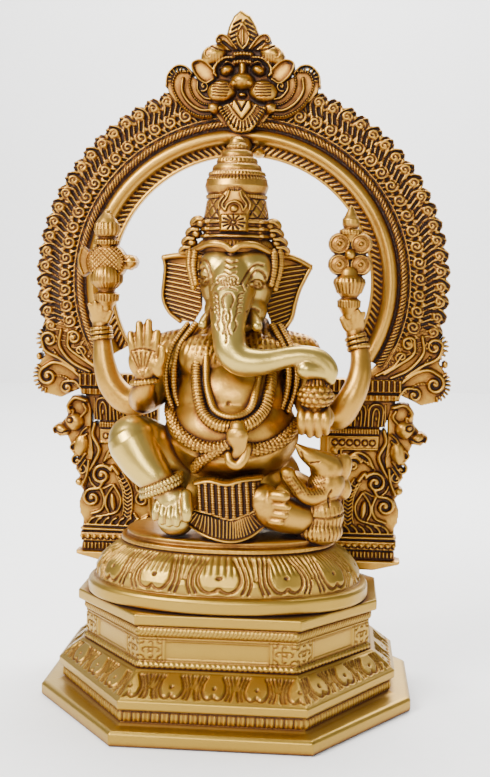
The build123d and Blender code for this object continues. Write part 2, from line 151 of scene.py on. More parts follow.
@dataclass(frozen=True)
class BrassFinish:
    """Metal that is worn bright where it stands out and dark where it lies deep, all colours linear; the dark
    in the hollows is patina together with shade painted from an ambient occlusion mask.
    """

    name: str
    bright: tuple[float, float, float]
    golden: tuple[float, float, float]
    patina: tuple[float, float, float] = (0.17, 0.066, 0.018)
    # The darkest stop below is grime together with painted shade for the deepest hollows.
    grime_and_shade: tuple[float, float, float] = (0.026, 0.011, 0.007)
    # Reach of the ambient occlusion that paints shade into the hollows.
    shade_reach_mm: float = 3.0
    depth: float = 0.62
    edge: float = 1.6
    rough: float = 0.30
    stain: float = 0.5
    stops: tuple[float, float, float, float] = (-0.30, -0.06, 0.16, 0.36)
    blotch_scale: float = 55.0
    speck_scale: float = 620.0
    broad_scale: float = 16.0
    bump_strength: float = 0.38
    bump_mm: float = 0.18

    def build(self) -> bpy.types.Material:
        """Make the material.

        Returns:
            The material, which reads Object coordinates, the hollows (ambient occlusion, painted into the
            colour as shade) and the edges of a piece.
        """
        shader = Shader(self.name)
        place = shader.node("ShaderNodeTexCoord", {}, {}, "Object")
        # Ambient occlusion: hollows within reach read low and come out darker, which is painted shade.
        occlusion_shade = shader.node("ShaderNodeAmbientOcclusion", {"samples": 8, "only_local": False},
                               {"Distance": self.shade_reach_mm * MM}, "AO")
        blotch = shader.node("ShaderNodeTexNoise", {},
                             {"Vector": place, "Scale": self.blotch_scale, "Detail": 5.0, "Roughness": 0.6})
        speck = shader.node("ShaderNodeTexNoise", {},
                            {"Vector": place, "Scale": self.speck_scale, "Detail": 3.0})
        broad = shader.node("ShaderNodeTexNoise", {},
                            {"Vector": place, "Scale": self.broad_scale, "Detail": 2.0})
        edge = shader.node("ShaderNodeNewGeometry", {}, {}, "Pointiness")
        # Wear and painted shade together: occlusion darkens the hollows as painted shade, pointiness
        # brightens worn edges, and noise adds stains.
        wear_and_shade = (occlusion_shade + (edge - 0.5) * self.edge + (blotch - 0.5) * (0.34 * self.stain)
                  + (speck - 0.5) * (0.20 * self.stain)).clamped()
        # Colour stops run from grime with painted shade, through patina and golden brass, to worn bright
        # brass.
        tones = (self.grime_and_shade, self.patina, self.golden, self.bright)
        stops = [(self.depth + offset, tone) for offset, tone in zip(self.stops, tones)]
        colour = shader.node("ShaderNodeValToRGB", {"stops": stops}, {"Fac": wear_and_shade}, "Color")
        warm = shader.node("ShaderNodeMix", {"data_type": "RGBA", "blend_type": "MULTIPLY"},
                           {0: (broad * 0.9).clamped(), 6: colour, 7: (1.0, 0.88, 0.66, 1.0)}, 2)
        # Metallic follows the same mask: less metal in the hollows, for the patina there and for the painted
        # shade.
        bare_and_unshaded = ((wear_and_shade - 0.22) * 3.2).clamped()
        rough = (self.rough + (1.0 - wear_and_shade) * 0.42 + (blotch - 0.5) * 0.16).clamped()
        bump = shader.node("ShaderNodeBump", {},
                           {"Strength": self.bump_strength, "Distance": self.bump_mm * MM,
                                                  "Height": speck + blotch * 1.5}, "Normal")
        surface = shader.node("ShaderNodeBsdfPrincipled", {}, {
            "Base Color": warm, "Metallic": bare_and_unshaded * 0.97, "Roughness": rough, "Normal": bump}, "BSDF")
        out = shader.nodes.new("ShaderNodeOutputMaterial")
        shader.links.new(surface.socket, out.inputs["Surface"])
        return shader.material


# Each finish gives bright and golden colours; some also give a patina and a darkest stop of grime with
# painted shade for the hollows.
FINISHES = {
    Finish.POLISHED: BrassFinish("polished_brass", (0.51, 0.375, 0.10), (0.36, 0.21, 0.06), rough=0.32),
    Finish.ANTIQUE: BrassFinish("antique_brass", (0.45, 0.255, 0.045), (0.265, 0.12, 0.026),
                                (0.10, 0.036, 0.011), rough=0.36, stain=1.0, depth=0.70),
    Finish.STAND: BrassFinish("stand_brass", (0.365, 0.238, 0.042), (0.265, 0.145, 0.032), rough=0.38),
    Finish.ZINC: BrassFinish("zinc_steel", (0.55, 0.56, 0.58), (0.42, 0.43, 0.45), (0.25, 0.25, 0.26),
                             (0.10, 0.10, 0.10), rough=0.38),
}
MATERIALS: dict[Finish, bpy.types.Material] = {}


# ---------------------------------------------------------------- mesh tools
def mesh_object(name: str, points: Array, quads: Array) -> bpy.types.Object:
    """Make an object from points in millimetres.

    Args:
        name: The piece's name.
        points: Vertices, N x 3.
        quads: Vertex numbers, M x 4.

    Returns:
        The new object, shaded smooth.
    """
    mesh = bpy.data.meshes.new(name)
    mesh.vertices.add(len(points))
    mesh.vertices.foreach_set("co", (np.asarray(points, dtype=np.float64) * MM).ravel())
    mesh.loops.add(quads.size)
    mesh.loops.foreach_set("vertex_index", quads.astype(np.int32).ravel())
    mesh.polygons.add(len(quads))
    mesh.polygons.foreach_set("loop_start", np.arange(0, quads.size, 4, dtype=np.int32))
    mesh.update(calc_edges=True)
    mesh.validate()
    mesh.polygons.foreach_set("use_smooth", np.ones(len(mesh.polygons), dtype=bool))
    piece = bpy.data.objects.new(name, mesh)
    bpy.context.scene.collection.objects.link(piece)
    return piece


def grid_quads(rows: int, columns: int, wrap_rows: bool = False, wrap_columns: bool = False) -> Array:
    """Quads of a grid whose vertices run column by column along each row."""
    number = np.arange(rows * columns).reshape(rows, columns)
    if wrap_rows:
        number = np.concatenate([number, number[:1]], axis=0)
    if wrap_columns:
        number = np.concatenate([number, number[:, :1]], axis=1)
    return np.stack([number[:-1, :-1], number[1:, :-1], number[1:, 1:], number[:-1, 1:]], axis=-1).reshape(-1,
                                                                                                           4)


def grid_normals(points: Array, wrap_rows: bool, wrap_columns: bool) -> Array:
    """Unit normals of a grid of points, from its own neighbours."""
    def slope(axis: int, wrap: bool) -> Array:
        """Difference along one axis."""
        if wrap:
            return np.roll(points, -1, axis=axis) - np.roll(points, 1, axis=axis)
        return np.gradient(points, axis=axis)
    normal = np.cross(slope(0, wrap_rows), slope(1, wrap_columns))
    return normal / np.maximum(np.linalg.norm(normal, axis=-1, keepdims=True), 1e-9)


def outwards(piece: bpy.types.Object) -> None:
    """Turn a closed mesh's faces outwards."""
    select(piece)
    bpy.ops.object.mode_set(mode="EDIT")
    bpy.ops.mesh.select_all(action="SELECT")
    bpy.ops.mesh.remove_doubles(threshold=0.00001)
    bpy.ops.mesh.normals_make_consistent(inside=False)
    bpy.ops.object.mode_set(mode="OBJECT")


def select(*pieces: bpy.types.Object) -> None:
    """Select just these pieces; the first is active."""
    bpy.ops.object.select_all(action="DESELECT")
    for piece in pieces:
        piece.select_set(True)
    bpy.context.view_layer.objects.active = pieces[0]


def join(name: str, pieces: Sequence[bpy.types.Object]) -> bpy.types.Object:
    """Join pieces into one named object."""
    select(*pieces)
    if len(pieces) > 1:
        bpy.ops.object.join()
    joined = bpy.context.view_layer.objects.active
    joined.name = name
    joined.data.name = name
    return joined


def modify(piece: bpy.types.Object, kind: str, **settings: object) -> None:
    """Add a modifier and apply it."""
    select(piece)
    modifier = piece.modifiers.new(kind.title(), kind)
    for key, value in settings.items():
        setattr(modifier, key, value)
    bpy.ops.object.modifier_apply(modifier=modifier.name)


def curve_through(points: Sequence[Sequence[float]], count: int) -> Array:
    """Points along a smooth curve through given ones (Catmull-Rom), evenly numbered.

    Args:
        points: Points to pass through, with any number of values each.
        count: How many points to return.

    Returns:
        The curve's points.
    """
    knots = np.asarray(points, dtype=float)
    padded = np.vstack([2 * knots[0] - knots[1], knots, 2 * knots[-1] - knots[-2]])
    spot = np.linspace(0, len(knots) - 1, count)
    part = np.minimum(spot.astype(int), len(knots) - 2)
    t = (spot - part)[:, None]
    a, b, c, d = (padded[part + k] for k in range(4))
    return 0.5 * (2 * b + (c - a) * t + (2 * a - 5 * b + 4 * c - d) * t**2 + (3 * b - a - 3 * c + d) * t**3)


def even(points: Array, step: float) -> Array:
    """Points of a path again, a step apart."""
    length = np.concatenate([[0], np.cumsum(np.linalg.norm(np.diff(points[:, :3], axis=0), axis=1))])
    count = max(3, int(round(length[-1] / step)) + 1)
    spots = np.linspace(0, length[-1], count)
    return np.stack([np.interp(spots, length, points[:, k]) for k in range(points.shape[1])], axis=1)


def tube(route: Sequence[Sequence[float]], step: float = 1.0, around: int = 20, relief: Relief | None = None,
         flat: float = 1.0, closed: bool = False) -> bpy.types.Object:
    """Round tube through (x, y, z, radius) points, with rounded ends.

    Args:
        route: Points with the radius as a fourth value.
        step: Distance between its rings.
        around: Points in each ring.
        relief: Height in millimetres from (distance along, angle around).
        flat: Scale of the tube across the view, 1 for round.
        closed: Whether the route joins its own start.

    Returns:
        The tube.
    """
    path = even(curve_through(list(route) + ([route[0]] if closed else []), 40 * len(route)), step)
    if closed:
        path = path[:-1]
    centre, radius = path[:, :3], path[:, 3].copy()
    way = (np.roll(centre, -1, 0) - np.roll(centre, 1, 0)) if closed else np.gradient(centre, axis=0)
    way /= np.linalg.norm(way, axis=1, keepdims=True)
    side = np.zeros_like(way)
    guess = np.array([0.0, 1.0, 0.0]) if abs(way[0][1]) < 0.8 else np.array([0.0, 0.0, 1.0])
    for number, direction in enumerate(way):
        guess = guess - direction * guess.dot(direction)
        guess /= np.linalg.norm(guess)
        side[number] = guess
    other = np.cross(way, side)
    length = np.arange(len(path)) * step
    angle = np.linspace(0, 2 * math.pi, around, endpoint=False)
    size = np.repeat(radius[:, None], around, axis=1)
    if relief is not None:
        size = size + relief(np.repeat(length[:, None], around, 1), np.repeat(angle[None], len(path), 0))
    if not closed:
        for end, sign in ((0, -1), (-1, 1)):
            caps = 4
            ring = []
            for k in range(1, caps + 1):
                turn = math.pi / 2 * k / caps
                ring.append((centre[end] + sign * way[end] * radius[end] * math.sin(turn),
                             max(math.cos(turn), 0.02) * size[end]))
            if sign > 0:
                centre = np.vstack([centre] + [c[None] for c, _ in ring])
                size = np.vstack([size] + [s[None] for _, s in ring])
                side = np.vstack([side] + [side[-1:]] * caps)
                other = np.vstack([other] + [other[-1:]] * caps)
            else:
                centre = np.vstack([c[None] for c, _ in ring[::-1]] + [centre])
                size = np.vstack([s[None] for _, s in ring[::-1]] + [size])
                side = np.vstack([side[:1]] * caps + [side])
                other = np.vstack([other[:1]] * caps + [other])
    points = (centre[:, None] + size[..., None] * (np.cos(angle)[None, :, None] * side[:, None] * flat
                                                   + np.sin(angle)[None, :, None] * other[:, None]))
    rows = len(centre)
    quads = grid_quads(rows, around, wrap_rows=closed, wrap_columns=True)
    points = points.reshape(-1, 3)
    if not closed:
        ends = []
        for first in (0, (rows - 1) * around):
            ring = first + np.arange(around)
            points = np.vstack([points, points[ring].mean(0)[None]])
            hub = len(points) - 1
            pairs = ring.reshape(-1, 2)
            following = np.roll(ring, -2).reshape(-1, 2)[:, 0]
            ends.append(np.stack([pairs[:, 0], pairs[:, 1], following, np.full(len(pairs), hub)], 1))
        quads = np.vstack([quads] + ends)
    piece = mesh_object("part", points, quads)
    outwards(piece)
    return piece


def ball(centre: Point, axes: Point, turn: Point = (0, 0, 0), detail: int = 4) -> bpy.types.Object:
    """Egg-shaped ball, turned by angles in degrees, as a start for a fused shape."""
    bpy.ops.object.select_all(action="DESELECT")
    bpy.ops.mesh.primitive_ico_sphere_add(subdivisions=detail, radius=1.0)
    piece = bpy.context.active_object
    piece.name = "part"
    spin = Matrix.Identity(4)
    for axis, degrees in zip("XYZ", turn):
        spin = Matrix.Rotation(math.radians(degrees), 4, axis) @ spin
    piece.data.transform(Matrix.Translation(Vector(centre) * MM) @ spin @ Matrix.Diagonal((*[a * MM
                                                                                             for a in axes],
                                                                                             1)))
    for polygon in piece.data.polygons:
        polygon.use_smooth = True
    return piece


def fuse(name: str, pieces: Sequence[bpy.types.Object], voxel: float = 0.6,
         smooth: int = 6) -> bpy.types.Object:
    """Fuse overlapping closed pieces into one cast body.

    Args:
        name: The piece's name.
        pieces: What to fuse.
        voxel: Size of the remesh's cells in millimetres.
        smooth: Passes of smoothing.

    Returns:
        The fused body.
    """
    body = join(name, pieces)
    modify(body, "REMESH", mode="VOXEL", voxel_size=voxel * COARSE * MM, use_smooth_shade=True)
    if smooth:
        modify(body, "SMOOTH", factor=0.6, iterations=smooth)
    return body


def carve(piece: bpy.types.Object, depth: Callable[[Array, Array], Array]) -> None:
    """Move a mesh's points along their normals.

    Args:
        piece: The mesh.
        depth: Distance in millimetres from (points in millimetres, normals).
    """
    mesh = piece.data
    points = np.empty(len(mesh.vertices) * 3)
    mesh.vertices.foreach_get("co", points)
    normals = np.empty(len(mesh.vertices) * 3)
    mesh.vertices.foreach_get("normal", normals)
    points, normals = points.reshape(-1, 3), normals.reshape(-1, 3)
    moved = points + normals * depth(points / MM, normals)[:, None] * MM
    mesh.vertices.foreach_set("co", moved.ravel())
    mesh.update()


def hand(side: int) -> str:
    """Name of a side: 1 is the deity's left."""
    return "left" if side > 0 else "right"


def oval(x: float, z: float, half_x: float, half_z: float, count: int = 12,
         turn: float = DRAWN_TURN) -> list[tuple[float, float]]:
    """Points round an upright oval; the last is the first again."""
    return [(x + half_x * math.cos(t), z + half_z * math.sin(t)) for t in np.linspace(0, turn, count)]


def ring(centre: Point, across: Point, rise: Point, radius: float, count: int = 12,
         turn: float = DRAWN_TURN) -> list[tuple]:
    """Tube points round a circle or oval, from its two half axes."""
    return [(*(np.array(centre) + math.cos(t) * np.array(across) + math.sin(t) * np.array(rise)), radius)
            for t in np.linspace(0, turn, count, endpoint=False)]


def bump_of(distance: Array, width: float) -> Array:
    """Rounded ridge: 1 on its line and 0 from half a width away."""
    return np.sqrt(np.clip(1 - (2 * distance / width) ** 2, 0, 1))


def line_distance(x: Array, z: Array, route: Array) -> Array:
    """Distance of every point to a polyline of (x, z) points."""
    best = np.full(np.shape(x), 1e9)
    for (ax, az), (bx, bz) in zip(route[:-1], route[1:]):
        dx, dz = bx - ax, bz - az
        size = max(dx * dx + dz * dz, 1e-9)
        t = np.clip(((x - ax) * dx + (z - az) * dz) / size, 0, 1)
        best = np.minimum(best, np.hypot(x - ax - t * dx, z - az - t * dz))
    return best


class Plaque:
    """A field of relief over flat (x, z) coordinates, drawn with ridges, balls and spirals."""

    def __init__(self, x: Array, z: Array) -> None:
        """Start flat.

        Args:
            x: Coordinate across, a grid.
            z: Coordinate upwards, a grid.
        """
        self.x = x
        self.z = z
        self.height = np.zeros(np.shape(x))
        self.inside = np.zeros(np.shape(x), dtype=bool)

    def _near(self, low: tuple[float, float], high: tuple[float, float]) -> Array:
        """Which points lie in a window."""
        return (self.x >= low[0]) & (self.x <= high[0]) & (self.z >= low[1]) & (self.z <= high[1])

    def _raise(self, near: Array, height: Array, grow: bool) -> None:
        """Lift the points in a window to at least a height."""
        self.height[near] = np.maximum(self.height[near], height)
        if grow:
            self.inside[near] |= height > 0

    def ridge(self, route: Sequence[Sequence[float]], width: float, height: float, base: float = 0.0,
              grow: bool = True, smooth: bool = True, beads: float = 0.0) -> "Plaque":
        """Draw a rounded ridge along a route.

        Args:
            route: (x, z) points.
            width: Width of the ridge.
            height: Its height.
            base: Height that it stands on.
            grow: Whether it adds to the plaque's outline.
            smooth: Whether the route is a smooth curve.
            beads: Spacing of beads along it, 0 for none.

        Returns:
            The plaque.
        """
        line = curve_through(route, 8 * len(route)) if smooth else np.asarray(route, dtype=float)
        low, high = line.min(0) - width, line.max(0) + width
        near = self._near(low, high)
        x, z = self.x[near], self.z[near]
        shape = bump_of(line_distance(x, z, line), width)
        if beads:
            spots = even(line, beads)
            gap = np.min([np.hypot(x - a, z - b) for a, b in spots], axis=0)
            shape = np.maximum(shape * 0.45, bump_of(gap, min(width, beads * 1.05)))
        self._raise(near, np.where(shape > 0, base + height * shape, 0), grow)
        return self

    def spiral(self, x: float, z: float, radius: float, width: float, height: float, turns: float = 1.5,
               start: float = 0.0, hand: int = 1, base: float = 0.0, stem: Sequence = ()) -> "Plaque":
        """Draw a scroll that winds in from a radius to its eye, after an optional stem."""
        angle = np.linspace(0, 2 * math.pi * turns, max(14, int(16 * turns)))
        reach = radius * (1 - 0.86 * angle / angle[-1])
        turned = math.radians(start) + hand * angle
        coil = list(zip(x + reach * np.cos(turned), z + reach * np.sin(turned)))
        if stem:
            self.ridge(list(stem) + [coil[0]], width, height, base)
        self.ridge(coil, width, height, base, smooth=False)
        return self.dome(x, z, width * 0.62, width * 0.62, height * 1.15, base)

    def dome(self, x: float, z: float, half_x: float, half_z: float, height: float, base: float = 0.0,
             turn: float = 0.0, grow: bool = True) -> "Plaque":
        """Lift a rounded oval."""
        reach = max(half_x, half_z)
        near = self._near((x - reach, z - reach), (x + reach, z + reach))
        c, s = math.cos(math.radians(turn)), math.sin(math.radians(turn))
        dx, dz = self.x[near] - x, self.z[near] - z
        spread = ((dx * c + dz * s) / half_x) ** 2 + ((dz * c - dx * s) / half_z) ** 2
        shape = np.sqrt(np.clip(1 - spread, 0, 1))
        self._raise(near, np.where(spread < 1, base + height * shape, 0), grow)
        return self

    def flat(self, outline: Sequence[Sequence[float]], height: float, soft: float = 0.8) -> "Plaque":
        """Lift the inside of an outline to a height, with softened edges."""
        line = np.asarray(list(outline) + [outline[0]], dtype=float)
        near = self._near(line.min(0), line.max(0))
        x, z = self.x[near], self.z[near]
        odd = np.zeros(x.shape, dtype=bool)
        for (ax, az), (bx, bz) in zip(line[:-1], line[1:]):
            if az == bz:
                continue
            odd ^= ((az > z) != (bz > z)) & (x < (bx - ax) * (z - az) / (bz - az) + ax)
        edge = np.clip(line_distance(x, z, line) / soft, 0, 1)
        self._raise(near, np.where(odd, height * np.sqrt(1 - (1 - edge) ** 2) + 0.01, 0), True)
        return self

    def groove(self, route: Sequence[Sequence[float]], width: float, depth: float,
               smooth: bool = True) -> "Plaque":
        """Cut a groove along a route."""
        line = curve_through(route, 8 * len(route)) if smooth else np.asarray(route, dtype=float)
        near = self._near(line.min(0) - width, line.max(0) + width)
        shape = bump_of(line_distance(self.x[near], self.z[near], line), width)
        self.height[near] -= depth * shape
        return self

    def ribs(self, low: Point, high: Point, pitch: float, depth: float, lean: float = 0.0,
             power: float = 0.6) -> "Plaque":
        """Cut upright or leaning ribs into the relief between two corners."""
        near = self._near(low, high)
        phase = (self.x[near] + lean * self.z[near]) / pitch
        self.height[near] -= depth * np.abs(np.cos(math.pi * phase)) ** (1 / power)
        return self


def plaque_piece(name: str, plaque: Plaque, place: Callable[[Array, Array, Array], Array], back: float,
                 smooth: int = 1) -> bpy.types.Object:
    """Make a closed piece of a plaque's inside.

    Args:
        name: The piece's name.
        plaque: The relief.
        place: Turns (x, z, height) into points.
        back: Height of the back face, below the relief.
        smooth: Passes of smoothing of the relief's edges.

    Returns:
        The piece.
    """
    inside = plaque.inside
    cells = inside[:-1, :-1] & inside[1:, :-1] & inside[1:, 1:] & inside[:-1, 1:]
    front = place(plaque.x, plaque.z, plaque.height).reshape(-1, 3)
    rear = place(plaque.x, plaque.z, np.full_like(plaque.height, back)).reshape(-1, 3)
    rows, columns = plaque.x.shape
    quads = grid_quads(rows, columns).reshape(rows - 1, columns - 1, 4)[cells]
    half = rows * columns
    walls = []
    padded = np.pad(cells, 1)
    number = np.arange(half).reshape(rows, columns)
    for (di, dj), (a, b) in {(0, -1): ((0, 0), (1, 0)), (0, 1): ((1, 1), (0, 1)), (-1, 0): ((0, 1), (0, 0)),
                             (1, 0): ((1, 0), (1, 1))}.items():
        rim = cells & ~padded[1 + di:1 + di + cells.shape[0], 1 + dj:1 + dj + cells.shape[1]]
        i, j = np.nonzero(rim)
        first, second = number[i + a[0], j + a[1]], number[i + b[0], j + b[1]]
        walls.append(np.stack([second, first, first + half, second + half], 1))
    piece = mesh_object(name, np.vstack([front, rear]), np.vstack([quads, quads[:, ::-1] + half] + walls))
    outwards(piece)
    if smooth:
        modify(piece, "SMOOTH", factor=0.5, iterations=smooth)
    return piece


def dress(piece: bpy.types.Object, finish: Finish, *nodes: str) -> None:
    """Give a piece its finish and hide the nodes that it stands for.

    Args:
        piece: The finished piece.
        finish: Its finish, which goes into the piece's material slot.
        nodes: CAD nodes that it replaces.
    """
    piece.data.materials.clear()
    piece.data.materials.append(MATERIALS[finish])
    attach(piece, "root")
    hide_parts(*nodes)
    LOG.info("%s: %d faces", piece.name, len(piece.data.polygons))


# ---------------------------------------------------------------- the stand
def petal_cut(x: Array, up: Array, pitch: float, tall: float, width: float) -> Array:
    """Engraving of one hanging lotus petal and the lines beside it.

    Args:
        x: Distance from the petal's middle.
        up: Distance up from its lower edge.
        pitch: Distance between petals.
        tall: Height of the petal.
        width: Width of the lines.

    Returns:
        Depth of the cut, from 0 to 1.
    """
    lines = [[(0.0, 0.24), (0.05, 0.15), (0.13, 0.12), (0.22, 0.20), (0.285, 0.42), (0.27, 0.66),
              (0.20, 0.92)],
             [(0.31, 0.10), (0.36, 0.34), (0.345, 0.62), (0.27, 0.95)],
             [(0.40, 0.08), (0.435, 0.34), (0.42, 0.62), (0.36, 0.95)], [(0.485, 0.46), (0.465, 0.95)]]
    sunk = bump_of(np.hypot(x, up - 0.50 * tall), width * 1.6)
    for number, line in enumerate(lines):
        route = curve_through([(a * pitch, b * tall) for a, b in line], 7 * len(line))
        size = width * (1.25 if number == 0 else 1.0)
        sunk = np.maximum(sunk, bump_of(line_distance(x, up, route), size))
    return sunk


@dataclass
class Tier:
    """Eight-sided plan: half of the front side, half width, half depth, half of the end side."""

    front: float
    width: float
    depth: float
    side: float

    def corners(self, grow: float) -> Array:
        """Its corners, grown outwards, anticlockwise from the right end's front."""
        front, side = self.front + 0.41 * grow, self.side + 0.41 * grow
        width, depth = self.width + grow, self.depth + grow
        half = np.array([(width, -side), (width, side), (front, depth), (-front, depth)])
        return np.vstack([half, -half])


@dataclass
class Stand:
    """Hollow eight-sided stand, with its mouldings drawn into its wall."""

    slab: Tier = field(default_factory=lambda: Tier(43.3, 87.0, 82.8, 26.6))
    fascia: Tier = field(default_factory=lambda: Tier(40.6, 79.5, 76.7, 22.0))
    drum: Tier = field(default_factory=lambda: Tier(34.9, 67.2, 57.6, 18.0))
    top: Tier = field(default_factory=lambda: Tier(36.7, 70.6, 58.5, 20.0))
    step: float = 0.64

    def _wall(self, name: str, profile: Sequence[tuple[Tier, float, float, int]],
              relief: Callable[[Array, Array, Array], Array]) -> bpy.types.Object:
        """Sweep a profile round the stand.

        Args:
            name: The piece's name.
            profile: (tier, growth, height, rows up to the next) from the foot round to the inside.
            relief: Height from (distance from the side's middle, half of the side, z).

        Returns:
            The wall, closed round and through.
        """
        counts = [max(4, int(np.linalg.norm(a - b) / self.step))
                  for a, b in zip(self.slab.corners(0), np.roll(self.slab.corners(0), -1, 0))]
        share = np.concatenate([np.linspace(0, 1, n, endpoint=False) for n in counts])
        side = np.concatenate([np.full(n, k) for k, n in enumerate(counts)])
        rings, levels = [], []
        for number, (tier, grow, height, rows) in enumerate(profile):
            following = profile[(number + 1) % len(profile)]
            first, last = tier.corners(grow), following[0].corners(following[1])
            for t in np.arange(rows) / rows:
                rings.append(first * (1 - t) + last * t)
                levels.append(height * (1 - t) + following[2] * t)
        corner = np.array(rings)
        here, there = corner[:, side], np.roll(corner, -1, axis=1)[:, side]
        flat = here * (1 - share[None, :, None]) + there * share[None, :, None]
        half = np.linalg.norm(there - here, axis=-1) / 2
        along = (share[None] - 0.5) * 2 * half
        z = np.repeat(np.array(levels)[:, None], len(side), axis=1)
        points = np.concatenate([flat, z[..., None]], axis=-1)
        edge = (there - here) / np.maximum(np.linalg.norm(there - here, axis=-1, keepdims=True), 1e-9)
        rise = np.gradient(points, axis=0)
        outward = np.cross(np.concatenate([edge, np.zeros_like(z)[..., None]], -1), rise)
        outward /= np.maximum(np.linalg.norm(outward, axis=-1, keepdims=True), 1e-9)
        lift = relief(along, half, z)
        points = points + outward * lift[..., None]
        piece = mesh_object(name, points.reshape(-1, 3),
                            grid_quads(*z.shape, wrap_rows=True, wrap_columns=True))
        outwards(piece)
        return piece

    @staticmethod
    def _lower_relief(along: Array, half: Array, z: Array) -> Array:
        """Dentils in the neck and lotus petals on the slope."""
        lift = np.zeros_like(z)
        fade = np.clip((half - np.abs(along)) / 1.2, 0, 1)
        neck = (z > 8.2) & (z < 13.2)
        band = np.clip(1 - ((z - 10.7) / 2.4) ** 2, 0, 1) ** 0.4
        teeth = np.abs(np.sin(math.pi * along / 2.05)) ** 0.7
        lift[neck] = (1.5 * band * teeth)[neck]
        slope = (z > 18.6) & (z < 25.6)
        v = np.clip((z - 18.8) / 6.6, 0, 1)
        pitch = 18.5
        u = (along / pitch + 0.5) % 1.0 - 0.5
        cut = petal_cut(np.abs(u[slope]) * pitch, v[slope] * 13.6, pitch, 13.6, 1.05)
        lift[slope] = (0.25 - 1.05 * cut) * fade[slope] * np.clip(v[slope] * 9, 0, 1)
        return lift

    @staticmethod
    def _upper_relief(along: Array, half: Array, z: Array) -> Array:
        """Beads at the drum's foot, framed panels with corner flowers, and a rope under the top."""
        lift = np.zeros_like(z)
        foot = (z > 26.4) & (z < 29.2)
        bead = np.hypot((along % 2.3) - 1.15, (z - 27.8) * 0.9)
        lift[foot] = (bump_of(bead, 2.5) * 0.9)[foot]
        drum = (z > 29.4) & (z < 40.0)
        square = half - 10.5
        frame_line = np.minimum(np.abs(np.abs(along) - square), np.abs(np.abs(along) - square + 1.3))
        frame_line = np.where(half > 14, frame_line, 9.0)
        level = np.minimum(np.abs(z - 30.0), np.abs(z - 39.4))
        cut = np.maximum(bump_of(frame_line, 0.55), bump_of(level, 0.5)) * 0.35
        x, y = np.abs(along) - square - 5.2, z - 34.7
        radius, angle = np.hypot(x, y), np.arctan2(y, x)
        flower = bump_of(np.abs(radius - 2.6 - 1.2 * np.cos(4 * angle)), 0.65)
        heart = bump_of(np.abs(radius - 1.0), 0.6)
        corner = bump_of(np.abs(np.hypot(np.abs(x) - 4.6, np.abs(y) - 4.4) - 1.7), 0.6)
        engraved = np.maximum.reduce([flower, heart, corner]) * 0.6 * (np.abs(x) < 4.9) * (half > 14)
        panel = (np.abs(along) < square - 1.9) & (np.abs(z - 34.7) < 3.9)
        lift[drum] = -np.maximum(cut * 1.6, np.maximum(engraved, 0.7 * panel))[drum]
        rope = (z > 40.6) & (z < 45.2)
        roll = np.sqrt(np.clip(1 - ((z - 42.9) / 2.3) ** 2, 0, 1))
        strand = 0.55 + 0.45 * np.abs(np.sin(math.pi * (along - 0.55 * (z - 42.9)) / 1.75)) ** 0.6
        lift[rope] = (1.5 * roll * strand)[rope]
        return lift

    def build(self) -> None:
        """Make the stand's lower and upper piece."""
        slab, fascia, drum, top = self.slab, self.fascia, self.drum, self.top
        lower = self._wall("stand_lower", [
            (slab, -1.6, 0.0, 2), (slab, -0.3, 0.5, 2), (slab, 0, 1.3, 5), (slab, 0, 5.6, 3),
            (slab, -1.0, 6.6, 4),
            (fascia, -0.6, 7.0, 3), (fascia, -1.8, 7.8, 2), (fascia, -2.6, 8.2, 12), (fascia, -2.6, 13.2, 3),
            (fascia, -0.8, 13.9, 2), (fascia, 0, 14.5, 5), (fascia, 0, 17.9, 2), (fascia, -0.9, 18.6, 26),
            (drum, 2.6, 25.6, 3), (drum, 1.6, 26.4, 2), (drum, -3.6, 26.4, 4), (drum, -3.6, 15.0, 2),
            (fascia, -7.6, 14.0, 3), (fascia, -7.6, 0.0, 3)], self._lower_relief)
        upper = self._wall("stand_upper", [
            (drum, -2.5, 26.0, 1), (drum, 0.0, 26.0, 1), (drum, 0.4, 26.4, 8), (drum, 0.4, 29.2, 1),
            (drum, 0, 29.5, 24), (drum, 0, 40.2, 2), (drum, -0.3, 40.6, 12), (drum, -0.3, 45.2, 2),
            (top, -0.9, 45.5, 2), (top, -0.2, 46.0, 2), (top, 0, 46.6, 5), (top, 0, 50.0, 2),
            (top, -0.25, 50.6, 2),
            (top, -0.9, 50.8, 4), (top, -30.0, 50.8, 2), (top, -30.0, 47.2, 3), (drum, -3.6, 47.2, 4)],
            self._upper_relief)
        for piece in (lower, upper):
            dress(piece, Finish.STAND, "pedestal")


